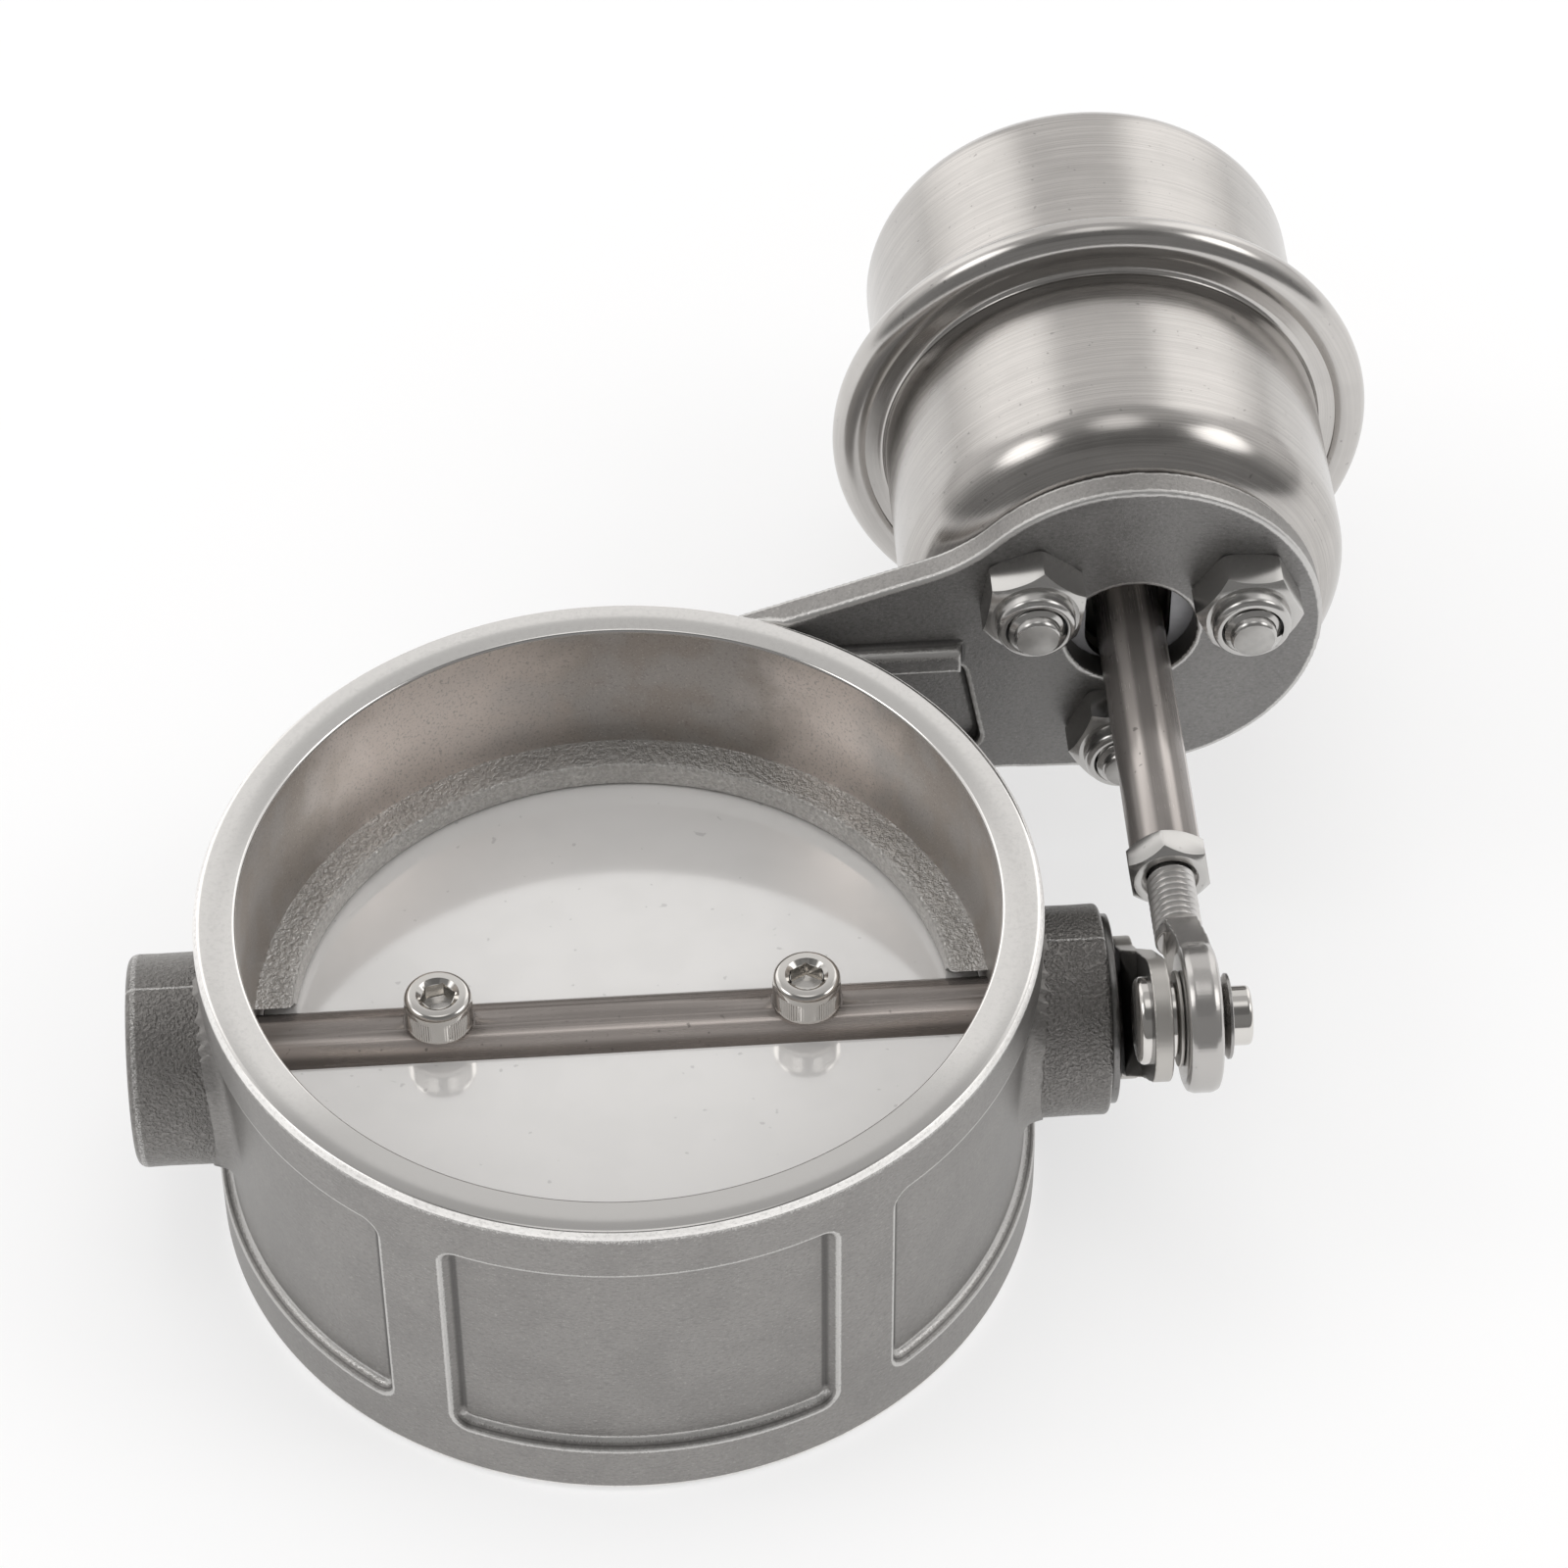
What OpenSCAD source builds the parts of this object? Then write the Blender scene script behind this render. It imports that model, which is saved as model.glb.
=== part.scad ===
// Exhaust cutout valve with a vacuum actuator
// Z runs up the duct, X along the shaft towards the lever, Y along the actuator.
// The origin is the centre of the ring's bottom face.

/* [Duct and ring] */
// Outside diameter of the exhaust pipe that slips into each socket
pipe_d = 76; // [60:0.5:90]
// Radial clearance between pipe and socket
pipe_gap = 0.3; // [0.1:0.05:0.6]
// Thickness of the ring's wall at the sockets
ring_wall = 4.3; // [3.5:0.1:6]
// Height of the ring
ring_h = 40.7; // [36:0.1:50]
// Depth of each pipe socket
socket_depth = 10; // [6:0.5:11]
// Inward step of the waist where the plate turns, on the radius
waist_step = 0.7; // [0.3:0.1:1.5]
// Rounding of the rims' outer edges
rim_round = 0.6; // [0.3:0.1:1.2]
// Width of the half-round ledges that the plate shuts against
ledge_w = 3.8; // [3:0.1:5]
// Thickness of the ledges
ledge_t = 3; // [2:0.1:4]

/* [Pockets in the ring's outside] */
// Depth of the cast pockets
pocket_depth = 1.1; // [0.5:0.1:1.6]
// Height of the band left above and below the pockets
pocket_band = 6.4; // [5:0.1:9]
// Angle that the front pocket spans
front_pocket_span = 54; // [40:1:60]
// Angle that each side pocket spans, half of it to either side of the boss
side_pocket_span = 108; // [96:1:112]
// Angle that the rear pocket spans, from the middle away from the bracket
back_pocket_span = 27; // [18:1:30]

/* [Shaft and plate] */
// Diameter of the shaft
shaft_d = 8; // [7:0.1:9]
// Thickness of the butterfly plate
plate_t = 3; // [2:0.1:3.4]
// Clearance between the plate's edge and the waist
plate_edge_gap = 0.4; // [0.2:0.05:0.8]
// Clearance between the shut plate and the ledges
seat_gap = 0.1; // [0.05:0.05:0.3]
// Distance from the duct's middle to each plate screw
screw_x = 18.8; // [12:0.1:24]
// Thread diameter of the plate screws
screw_d = 4; // [3:0.5:5]
// Head diameter of the plate screws
screw_head_d = 7; // [6.5:0.1:8]
// Head height of the plate screws
screw_head_h = 4; // [3:0.1:5]

/* [Bosses and bushes] */
// Diameter of the shaft bosses
boss_d = 21.8; // [18:0.1:24]
// Length of the closed boss beyond the ring
blind_boss_l = 7.6; // [6:0.1:10]
// Length of the drive side boss beyond the ring
drive_boss_l = 6.7; // [6:0.1:10]
// Rounding of the bosses' end edges
boss_round = 1; // [0.3:0.1:1.5]
// Wall thickness of the bushes
bush_wall = 1; // [0.8:0.1:1.5]
// Running clearance of the shaft in its bushes, on the radius
shaft_gap = 0.05; // [0.02:0.01:0.1]
// Length of the shaft seal
seal_l = 3; // [2:0.1:4]
// Radial width of the shaft seal
seal_w = 3; // [2:0.1:4]
// Thickness of the cover over the seal
cover_t = 0.9; // [0.6:0.1:1.2]
// Diameter of the cover
cover_d = 19.6; // [17:0.1:20]

/* [Crank lever] */
// Distance from the shaft's axis to the pin's axis
crank_r = 19.3; // [17:0.1:20]
// Height of the lever above level when the valve is shut
crank_angle = 45; // [42:1:48]
// Thickness of the lever
lever_t = 1.9; // [1.6:0.1:2.6]
// Radius of the lever's wide end
lever_root_r = 7.4; // [7.2:0.1:8.4]
// Radius of the lever's pin end
lever_tip_r = 6.2; // [5.5:0.1:6.5]
// Sideways step of the joggled lever
lever_joggle = 1.4; // [1:0.1:2]
// Running gap between cover and lever
lever_gap = 0.4; // [0.2:0.1:0.8]
// Width over the two flats of the shaft's drive end
drive_flat_w = 6; // [5:0.1:6.4]

/* [Crank pin and rod end] */
// Diameter of the crank pin
pin_d = 6; // [5:0.1:6.4]
// Diameter of the pin's shoulder
pin_shoulder_d = 7.6; // [7.2:0.1:8.6]
// Thickness of the pin's shoulder
pin_shoulder_t = 0.7; // [0.5:0.1:1.2]
// Thickness of the washer beside the rod end
pin_washer_t = 0.4; // [0.3:0.1:0.8]
// Diameter of that washer
pin_washer_d = 9.6; // [9:0.1:11]
// Running clearance of the rod end on the pin, on the radius
pin_gap = 0.05; // [0.02:0.01:0.1]
// Side clearance between the pieces on the pin
side_gap = 0.1; // [0.05:0.05:0.2]
// Side clearance between the rod end and the clip
clip_gap = 0.4; // [0.1:0.1:0.6]
// Width of the rod end's eye along the pin
eye_t = 3.6; // [3:0.1:4.5]
// Outside diameter of the rod end's eye
eye_d = 15; // [13:0.1:16]
// Offset of the eye from its shank, along the pin
eye_offset = 0.65; // [0.3:0.05:1]
// Diameter of the push-on clip
clip_d = 8.6; // [8.2:0.1:10]
// Thickness of the push-on clip
clip_t = 0.9; // [0.8:0.1:1.4]
// Length of the pin beyond the clip
pin_end_l = 2.1; // [1:0.1:3]
// Diameter of the pin's riveted head behind the lever
pin_head_d = 8.8; // [8:0.1:9.4]

/* [Rod] */
// Diameter of the rod
rod_d = 7.3; // [6.5:0.1:8]
// Offset of the rod from the canister's axis, along the shaft
rod_offset = 0.4; // [0:0.1:0.6]
// Thread diameter of the rod end
rod_thread_d = 5; // [4:0.5:5]
// Distance from the pin to the jam nut's front face
jam_nut_y = 18.6; // [17.5:0.1:19]
// Thickness of the jam nut
jam_nut_t = 3.3; // [3:0.1:4]
// Width across the jam nut's flats
jam_nut_w = 8; // [7.5:0.1:8]
// Clearance round the rod where it passes the bracket at mid stroke
rod_clear = 0.5; // [0.4:0.05:1]

/* [Bracket] */
// Distance from the shaft's axis to the bracket's front face
bracket_y = 38; // [37:0.1:40]
// Thickness of the bracket
bracket_t = 3.2; // [2.5:0.1:3.6]
// Radius of the bracket's round plate
bracket_r = 20.4; // [19.5:0.1:22]
// Slope of the arm's upper edge
arm_slope = 19.5; // [16:0.5:21]
// Radius of the hollow where arm and round plate meet
arm_fillet_r = 18; // [8:1:22]
// Height of the arm's lower edge above the ring's bottom
arm_low_z = 17; // [15:0.5:17.5]
// Depth of the recess in the arm's front
recess_depth = 1.6; // [1:0.1:2]
// Height of the raised rib over the recess
arm_rib_h = 2.9; // [2:0.1:3.2]
// Height that the rib stands out of the bracket's front
arm_rib_t = 1.6; // [1:0.1:2]

/* [Studs and nuts] */
// Diameter of the circle that the studs stand on
stud_circle_d = 26.3; // [26:0.1:27]
// Thread diameter of the studs
stud_d = 6; // [5:0.5:6]
// Angle of the first stud above level
stud_angle = 26; // [20:1:32]
// Clearance of the studs in the bracket's holes, on the radius
stud_gap = 0.25; // [0.1:0.05:0.4]
// Width across the lock nuts' flats
nut_w = 10; // [9:0.1:10]
// Height of the lock nuts' hexagon
nut_hex_h = 4.6; // [4:0.1:5]
// Height of the lock nuts' round collar
nut_collar_h = 1.8; // [1.2:0.1:2.4]
// Length of stud that shows beyond the collar
stud_end_l = 1.4; // [0.8:0.1:2]

/* [Canister] */
// Outside radius of both cups
can_r = 23.8; // [22.5:0.1:25]
// Sheet thickness of the cups
can_wall = 1; // [0.8:0.1:1.2]
// Length of the front cup, from the bracket to the bead's middle
front_cup_l = 29.2; // [26:0.1:32]
// Length of the rear cup, from the bead's middle to the rear face
rear_cup_l = 27.6; // [25:0.1:32]
// How far the rolled bead stands out beyond the cups
bead_out = 5.6; // [5:0.1:6.7]
// Radius of the bead's round section
bead_round = 2.2; // [2:0.1:2.4]
// Corner radius of the front cup
front_corner_r = 7; // [6:0.1:7.2]
// Corner radius of the rear cup
rear_corner_r = 4; // [3:0.1:6]
// Outside diameter of the vacuum nipple
nipple_d = 6; // [5:0.1:7]
// Length of the vacuum nipple beyond the rear face
nipple_l = 12; // [8:0.5:14]

/* [Inside the canister] */
// Radius of the piston cup
piston_r = 17.6; // [16:0.1:18]
// Depth of the piston cup
piston_l = 14; // [10:0.5:16]
// Sheet thickness of the piston cup
piston_wall = 1; // [0.8:0.1:1.2]
// Gap between the front cup's inside and the parked piston
piston_park = 5; // [3.5:0.1:6]
// Thickness of the diaphragm
diaphragm_t = 0.8; // [0.6:0.1:0.9]
// Mean radius of the return spring
spring_r = 11.5; // [10:0.1:12.5]
// Wire diameter of the return spring
spring_wire_d = 1.6; // [1.2:0.1:2]
// Turns of the return spring
spring_turns = 7; // [5:0.5:9]

/* [Hidden] */
$fn = 96;
// Overlap of a cutting tool past the face that it cuts
cut = 1;
// Clearance between pieces that are assembled tight
snug = 0.02;

// Ring
socket_r = pipe_d / 2 + pipe_gap;
ring_r = socket_r + ring_wall;
blind_boss_x = ring_r + blind_boss_l;
drive_boss_x = ring_r + drive_boss_l;
waist_r = socket_r - waist_step;
shaft_z = ring_h / 2;
waist_low = shaft_z - plate_t / 2 - seat_gap - ledge_t;
waist_high = shaft_z + plate_t / 2 + seat_gap + ledge_t;

// Bushes
bush_r = shaft_d / 2 + shaft_gap + bush_wall;
bush_start = waist_r + 0.6;
blind_wall = 4.2;
shaft_end_blind = -(blind_boss_x - blind_wall - 0.3);

// Plate
plate_r = waist_r - plate_edge_gap;
screw_seat_z = shaft_z + shaft_d / 2 - 0.15;

// Stack of pieces along the shaft on the drive side
lever_x = drive_boss_x + cover_t + lever_gap;
tip_x = lever_x + lever_joggle;
shoulder_x = tip_x + lever_t;
washer_x = shoulder_x + pin_shoulder_t + side_gap;
eye_x = washer_x + pin_washer_t + side_gap;
clip_x = eye_x + eye_t + clip_gap;
pin_end_x = clip_x + clip_t + pin_end_l;

// Crank pin at rest, and how far the rod lifts at mid stroke
pin_y = -crank_r * cos(crank_angle);
pin_z = shaft_z + crank_r * sin(crank_angle);
rod_lift = crank_r * (1 - sin(crank_angle));
// Length of thread inside the rod
thread_grip = 8;

// Actuator axis
rod_x = eye_x + eye_t / 2 - eye_offset;
act_x = rod_x - rod_offset;
act_z = pin_z + rod_lift / 2;
bracket_back = bracket_y + bracket_t;
bracket_hole_r = rod_d / 2 + rod_lift / 2 + rod_clear;
// Half width of the upright slot in front cup and stud plate
slot_r = rod_d / 2 + rod_clear + rod_offset;
bead_y = bracket_back + front_cup_l;
rear_y = bead_y + rear_cup_l;
bead_r = can_r + bead_out;
bead_mid_r = bead_r - bead_round;
inner_r = can_r - can_wall;
// Step down of the nipple where it passes the rear face
nipple_step = 0.5;

// Height of the rib's lower edge on the arm
arm_rib_z = act_z - 3.1;

// Points of a round stretch of outline
function arc(c, r, a0, a1, n) =
    [for (i = [0:n]) c + r * [cos(a0 + (a1 - a0) * i / n), sin(a0 + (a1 - a0) * i / n)]];

// Round bar along X from x0 to x1
module bar_x(r, x0, x1) {
    translate([x0, 0, 0]) rotate([0, 90, 0]) cylinder(r = r, h = x1 - x0);
}

// Round bar along Y from y0 to y1
module bar_y(r, y0, y1) {
    translate([0, y1, 0]) rotate([90, 0, 0]) cylinder(r = r, h = y1 - y0);
}

// Hexagonal bar along Y, with one corner at the given angle above +X
module hex_y(w, y0, y1, corner) {
    translate([0, y1, 0]) rotate([90, 0, 0]) rotate(corner)
        cylinder(r = w / 2 / cos(30), h = y1 - y0, $fn = 6);
}

// Turned body whose profile gives radius and distance along Y
module turned_y(points) {
    rotate([-90, 0, 0]) rotate_extrude() polygon(points);
}

// Places its children on the actuator's axis
module at_actuator() {
    translate([act_x, 0, act_z]) children();
}

// Places its children on the rod's axis at rest
module at_rod() {
    translate([rod_x, 0, pin_z]) children();
}

// Places its children at the three studs
module at_studs() {
    for (a = [stud_angle, stud_angle + 120, stud_angle + 240])
        at_actuator() translate([stud_circle_d / 2 * cos(a), 0, stud_circle_d / 2 * sin(a)])
            children();
}

// Half of the ring's wall profile, from the bottom face to the middle
function wall_half(sgn, z0) = [
    [socket_r, z0],
    [socket_r, z0 + sgn * socket_depth],
    [waist_r, sgn > 0 ? waist_low : waist_high]];

// Wall of the ring with both sockets and rounded outer edges
module ring_wall_solid() {
    rotate_extrude($fn = 180)
        polygon(concat(
            wall_half(1, 0),
            [for (p = [2:-1:0]) wall_half(-1, ring_h)[p]],
            arc([ring_r - rim_round, ring_h - rim_round], rim_round, 90, 0, 4),
            arc([ring_r - rim_round, rim_round], rim_round, 0, -90, 4)));
}

// Half-round ledge on the side of the plate given by sgn
module ledge(sgn) {
    low = sgn > 0 ? waist_high - ledge_t : waist_low;
    intersection() {
        translate([0, 0, low]) difference() {
            cylinder(r = waist_r + cut, h = ledge_t, $fn = 180);
            translate([0, 0, -cut]) cylinder(r = waist_r - ledge_w, h = ledge_t + 2 * cut, $fn = 180);
        }
        translate([-ring_r, sgn > 0 ? 0 : -ring_r, 0]) cube([2 * ring_r, ring_r, ring_h]);
    }
}

// Cutter for one cast pocket, centred on the given angle from -Y towards +X
module pocket_cutter(centre, span) {
    rotate(centre - 90 - span / 2) rotate_extrude(angle = span, $fn = 180)
        polygon([[ring_r - pocket_depth, pocket_band], [ring_r + cut, pocket_band],
            [ring_r + cut, ring_h - pocket_band], [ring_r - pocket_depth, ring_h - pocket_band]]);
}

// Round boss along X with rounded end edge
module boss(x_end) {
    r = boss_d / 2;
    translate([0, 0, shaft_z]) rotate([0, 90, 0]) rotate_extrude()
        polygon(concat([[0, socket_r + 1], [r, socket_r - 6]],
            arc([r - boss_round, x_end - boss_round], boss_round, 0, 90, 4), [[0, x_end]]));
}

// Outline of arm and round plate, seen along Y, in X and Z
module bracket_outline() {
    c = [act_x, act_z];
    dir = [cos(arm_slope), sin(arm_slope)];
    up = [-sin(arm_slope), cos(arm_slope)];
    start = [ring_r * 0.18, ring_h - 3.8];
    // Centre of the hollow between the arm's upper edge and the round plate
    drop = (c - start) * up;
    reach = sqrt(pow(bracket_r + arm_fillet_r, 2) - pow(arm_fillet_r - drop, 2));
    along = (c - start) * dir - reach;
    f = start + along * dir + arm_fillet_r * up;
    touch = atan2(f[1] - c[1], f[0] - c[0]);
    polygon(concat(
        [start],
        arc(f, arm_fillet_r, arm_slope - 90, touch - 180 + 0, 8),
        arc(c, bracket_r, touch, -90, 60),
        [[ring_r * 0.98, arm_low_z], [ring_r * 0.18, arm_low_z]]));
}

// Outline of the recess in the arm, whose end towards the round plate leans
module recess_outline() {
    r = 2;
    lean = 1.7;
    x0 = ring_r * 0.36;
    x1 = act_x - bracket_r + 2.85;
    z0 = arm_low_z + 3.2;
    z1 = arm_rib_z - 0.1;
    a = atan2(lean, z1 - z0);
    polygon(concat(
        arc([x0 + r, z1 - r], r, 90, 180, 6),
        arc([x0 + r, z0 + r], r, 180, 270, 6),
        arc([x1 + lean - r, z0 + r], r, 270, 360 + a, 6),
        arc([x1 - r, z1 - r], r, a, 90, 6)));
}

// Bracket arm with its recess and round plate
module bracket() {
    difference() {
        translate([0, bracket_back, 0]) rotate([90, 0, 0])
            linear_extrude(bracket_t) bracket_outline();
        translate([0, bracket_y + recess_depth, 0]) rotate([90, 0, 0])
            linear_extrude(recess_depth + cut) recess_outline();
    }
}

// Rib with a rounded upper edge along the top of the arm's recess
module arm_rib() {
    x0 = ring_r * 0.42;
    soft = 0.8;
    translate([x0, 0, arm_rib_z]) rotate([90, 0, 90])
        linear_extrude(act_x - bracket_r + 2.2 - x0)
            polygon(concat([[bracket_y + 0.3, arm_rib_h], [bracket_y - arm_rib_t + soft, arm_rib_h]],
                arc([bracket_y - arm_rib_t + soft, arm_rib_h - soft], soft, 100, 180, 5),
                [[bracket_y - arm_rib_t, 0], [bracket_y + 0.3, 0]]));
}

// Ring with ledges and bosses; on the real part the bracket is cast in one with it
module valve_ring() {
    color([0.45, 0.44, 0.42]) difference() {
        union() {
            difference() {
                ring_wall_solid();
                pocket_cutter(0, front_pocket_span);
                for (s = [-1, 1]) pocket_cutter(90 * s, side_pocket_span);
                pocket_cutter(180 + back_pocket_span / 2, back_pocket_span);
            }
            ledge(1);
            ledge(-1);
            difference() {
                union() {
                    boss(drive_boss_x);
                    mirror([1, 0, 0]) boss(blind_boss_x);
                }
                cylinder(r = socket_r + 1, h = ring_h, $fn = 180);
            }
        }
        // Bore for the bushes, blind on one side
        translate([0, 0, shaft_z]) bar_x(bush_r, -(blind_boss_x - blind_wall), drive_boss_x + cut);
        // Counterbore for the seal
        translate([0, 0, shaft_z])
            bar_x(shaft_d / 2 + seal_w, drive_boss_x - seal_l, drive_boss_x + cut);
    }
}

// Arm and round plate that carry the canister, up to the ring's outside
module canister_bracket() {
    color([0.45, 0.44, 0.42]) difference() {
        union() {
            bracket();
            arm_rib();
        }
        translate([0, 0, -cut]) cylinder(r = ring_r + snug, h = act_z + bracket_r + 2 * cut, $fn = 180);
        // Holes for rod and studs
        at_actuator() bar_y(bracket_hole_r, bracket_y - 3 * cut, bracket_back + cut);
        at_studs() bar_y(stud_d / 2 + stud_gap, bracket_y - 3 * cut, bracket_back + cut);
    }
}

// Sleeve for the shaft from x0 to x1
module bush(x0, x1) {
    translate([0, 0, shaft_z]) difference() {
        bar_x(bush_r - snug, x0, x1);
        bar_x(shaft_d / 2 + shaft_gap, x0 - cut, x1 + cut);
    }
}

module blind_side_bush() {
    color([0.6, 0.5, 0.35]) bush(-(blind_boss_x - blind_wall) + 0.2, -bush_start);
}

module drive_side_bush() {
    color([0.6, 0.5, 0.35]) bush(bush_start, drive_boss_x - seal_l - 0.1);
}

module shaft_seal() {
    color([0.15, 0.15, 0.16]) translate([0, 0, shaft_z]) difference() {
        bar_x(shaft_d / 2 + seal_w - snug, drive_boss_x - seal_l + snug, drive_boss_x - snug);
        bar_x(shaft_d / 2 + shaft_gap, drive_boss_x - seal_l - cut, drive_boss_x + cut);
    }
}

module seal_cover() {
    color([0.5, 0.49, 0.47]) translate([0, 0, shaft_z]) difference() {
        bar_x(cover_d / 2, drive_boss_x, drive_boss_x + cover_t);
        bar_x(shaft_d / 2 + 3 * shaft_gap, drive_boss_x - cut, drive_boss_x + cover_t + cut);
    }
}

module valve_shaft() {
    slot_l = plate_r + 0.3;
    color([0.4, 0.36, 0.33]) translate([0, 0, shaft_z]) difference() {
        bar_x(shaft_d / 2, shaft_end_blind, lever_x + lever_t + 0.4);
        // Slot for the plate
        translate([-slot_l, -shaft_d, -plate_t / 2 - snug])
            cube([2 * slot_l, 2 * shaft_d, plate_t + 2 * snug]);
        // Flats of the drive end, turned with the lever
        rotate([-crank_angle, 0, 0]) for (s = [-1, 1])
            translate([lever_x - 0.1, -shaft_d, s > 0 ? drive_flat_w / 2 : -drive_flat_w / 2 - shaft_d])
                cube([lever_t + 2, 2 * shaft_d, shaft_d]);
        // Screw holes and the flat spots under the heads
        for (s = [-1, 1]) translate([s * screw_x, 0, 0]) {
            translate([0, 0, -shaft_d]) cylinder(r = screw_d / 2 + snug, h = 2 * shaft_d);
            translate([0, 0, screw_seat_z - shaft_z]) cylinder(r = screw_head_d / 2 + 0.2, h = 2);
        }
    }
}

module butterfly_plate() {
    color([0.82, 0.81, 0.79]) translate([0, 0, shaft_z - plate_t / 2]) difference() {
        cylinder(r = plate_r, h = plate_t, $fn = 180);
        for (s = [-1, 1]) translate([s * screw_x, 0, -cut])
            cylinder(r = screw_d / 2 + snug, h = plate_t + 2 * cut);
    }
}

// Socket cap screw with its head's underside at z = 0
module cap_screw(length) {
    difference() {
        union() {
            rotate_extrude() polygon([[0, 0], [screw_head_d / 2 - 0.2, 0], [screw_head_d / 2, 0.2],
                [screw_head_d / 2, screw_head_h - 0.45], [screw_head_d / 2 - 0.45, screw_head_h],
                [0, screw_head_h]]);
            translate([0, 0, -length]) cylinder(r = screw_d / 2, h = length + 0.1);
        }
        translate([0, 0, screw_head_h * 0.45])
            cylinder(r = screw_d * 0.375 / cos(30), h = screw_head_h, $fn = 6);
    }
}

module plate_screws() {
    color([0.72, 0.7, 0.67]) for (s = [-1, 1])
        translate([s * screw_x, 0, screw_seat_z + snug])
            cap_screw(screw_seat_z - shaft_z + shaft_d / 2 - 0.1);
}

// Outline of the lever with its wide end at the origin and its tip along X
module lever_outline() {
    a = asin((lever_tip_r + 0.4) / lever_root_r);
    polygon(concat(
        arc([0, 0], lever_root_r, a, 360 - a, 40),
        arc([crank_r, 0], lever_tip_r, -88, 88, 32)));
}

// Side profile of the joggled strip, along the lever and along the shaft
module lever_profile() {
    bend_start = crank_r * 0.38;
    bend_end = bend_start + 2 * lever_joggle;
    lead = lever_t * 0.42;
    far = crank_r + lever_tip_r + cut;
    near = -lever_root_r - cut;
    polygon([[near, 0], [bend_start + lead, 0], [bend_end + lead, lever_joggle],
        [far, lever_joggle], [far, lever_joggle + lever_t], [bend_end, lever_joggle + lever_t],
        [bend_start, lever_t], [near, lever_t]]);
}

// Puts lever coordinates, along and across the lever and out along X, in place
module at_lever() {
    multmatrix([
        [0, 0, 1, lever_x],
        [-cos(crank_angle), -sin(crank_angle), 0, 0],
        [sin(crank_angle), -cos(crank_angle), 0, shaft_z],
        [0, 0, 0, 1]]) children();
}

module crank_lever() {
    color([0.62, 0.61, 0.59]) at_lever() difference() {
        intersection() {
            linear_extrude(lever_t + lever_joggle) lever_outline();
            translate([0, lever_root_r + cut, 0]) rotate([90, 0, 0])
                linear_extrude(2 * lever_root_r + 2 * cut) lever_profile();
        }
        // Hole with two flats for the shaft's end
        intersection() {
            translate([0, 0, -cut]) cylinder(r = shaft_d / 2 + snug, h = lever_t + 2 * cut);
            translate([-shaft_d, -drive_flat_w / 2 - snug, -cut])
                cube([2 * shaft_d, drive_flat_w + 2 * snug, lever_t + 2 * cut]);
        }
        translate([crank_r, 0, -cut])
            cylinder(r = pin_d / 2 + snug, h = lever_t + lever_joggle + 2 * cut);
    }
}

module crank_pin() {
    r = pin_d / 2;
    color([0.78, 0.77, 0.75]) translate([0, pin_y, pin_z]) difference() {
        union() {
            bar_x(r, tip_x - 0.6, pin_end_x - 0.4);
            translate([pin_end_x - 0.4, 0, 0]) rotate([0, 90, 0]) cylinder(r1 = r, r2 = r - 0.4, h = 0.4);
            bar_x(pin_shoulder_d / 2, shoulder_x, shoulder_x + pin_shoulder_t);
            // Riveted head on the lever's inner side
            translate([tip_x - 1.3, 0, 0]) rotate([0, 90, 0]) rotate_extrude()
                polygon(concat([[0, 0], [pin_head_d / 2 - 0.8, 0]],
                    arc([pin_head_d / 2 - 0.6, 0.6], 0.6, -70, 0, 4),
                    [[pin_head_d / 2, 1.3 - snug], [0, 1.3 - snug]]));
        }
        // Groove that the clip grips
        difference() {
            bar_x(r + 1, clip_x + clip_t - 0.5, clip_x + clip_t);
            bar_x(r - 0.3, clip_x, clip_x + 2 * clip_t);
        }
    }
}

module pin_washer() {
    color([0.55, 0.54, 0.52]) translate([0, pin_y, pin_z]) difference() {
        bar_x(pin_washer_d / 2, washer_x, washer_x + pin_washer_t);
        bar_x(pin_d / 2 + 0.1, washer_x - cut, washer_x + pin_washer_t + cut);
    }
}

module pin_clip() {
    r = clip_d / 2;
    color([0.6, 0.59, 0.57]) translate([clip_x, pin_y, pin_z]) rotate([0, 90, 0])
        rotate_extrude() polygon([[pin_d / 2 + snug, clip_t / 2], [r, 0], [r, 0.4],
            [pin_d / 2 + 0.35, clip_t], [pin_d / 2 + snug, clip_t]]);
}

module rod_end() {
    r = eye_d / 2;
    soft = 0.9;
    neck_l = r + 3.9;
    color([0.8, 0.79, 0.77]) difference() {
        union() {
            // Eye with softened edges
            translate([eye_x, pin_y, pin_z]) rotate([0, 90, 0]) rotate_extrude()
                polygon([[0, 0], [r - soft, 0], [r - 0.27, 0.27], [r, soft], [r, eye_t - soft],
                    [r - 0.27, eye_t - 0.27], [r - soft, eye_t], [0, eye_t]]);
            // Blade that tapers from the eye to the threaded shank, seen from the side and from above
            intersection() {
                translate([eye_x - eye_t, pin_y, pin_z]) rotate([90, 0, 90]) linear_extrude(3 * eye_t)
                    polygon([[-1, 0.6 - r], [1.5, 0.6 - r], [neck_l, -rod_thread_d / 2],
                        [neck_l, rod_thread_d / 2], [1.5, r - 0.6], [-1, r - 0.6]]);
                translate([0, pin_y, pin_z - r]) linear_extrude(2 * r)
                    polygon([[eye_x + 0.15, -2], [eye_x + eye_t - 0.15, -2],
                        [eye_x + eye_t - 0.2, r - 1], [rod_x + rod_thread_d * 0.34, neck_l + 1],
                        [rod_x - rod_thread_d * 0.34, neck_l + 1], [eye_x + 0.2, r - 1]]);
            }
            at_rod() bar_y(rod_thread_d / 2, pin_y + neck_l - 1.3, pin_y + jam_nut_y + jam_nut_t + thread_grip);
        }
        translate([eye_x, pin_y, pin_z]) bar_x(pin_d / 2 + pin_gap, -cut, eye_t + cut);
    }
}

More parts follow.
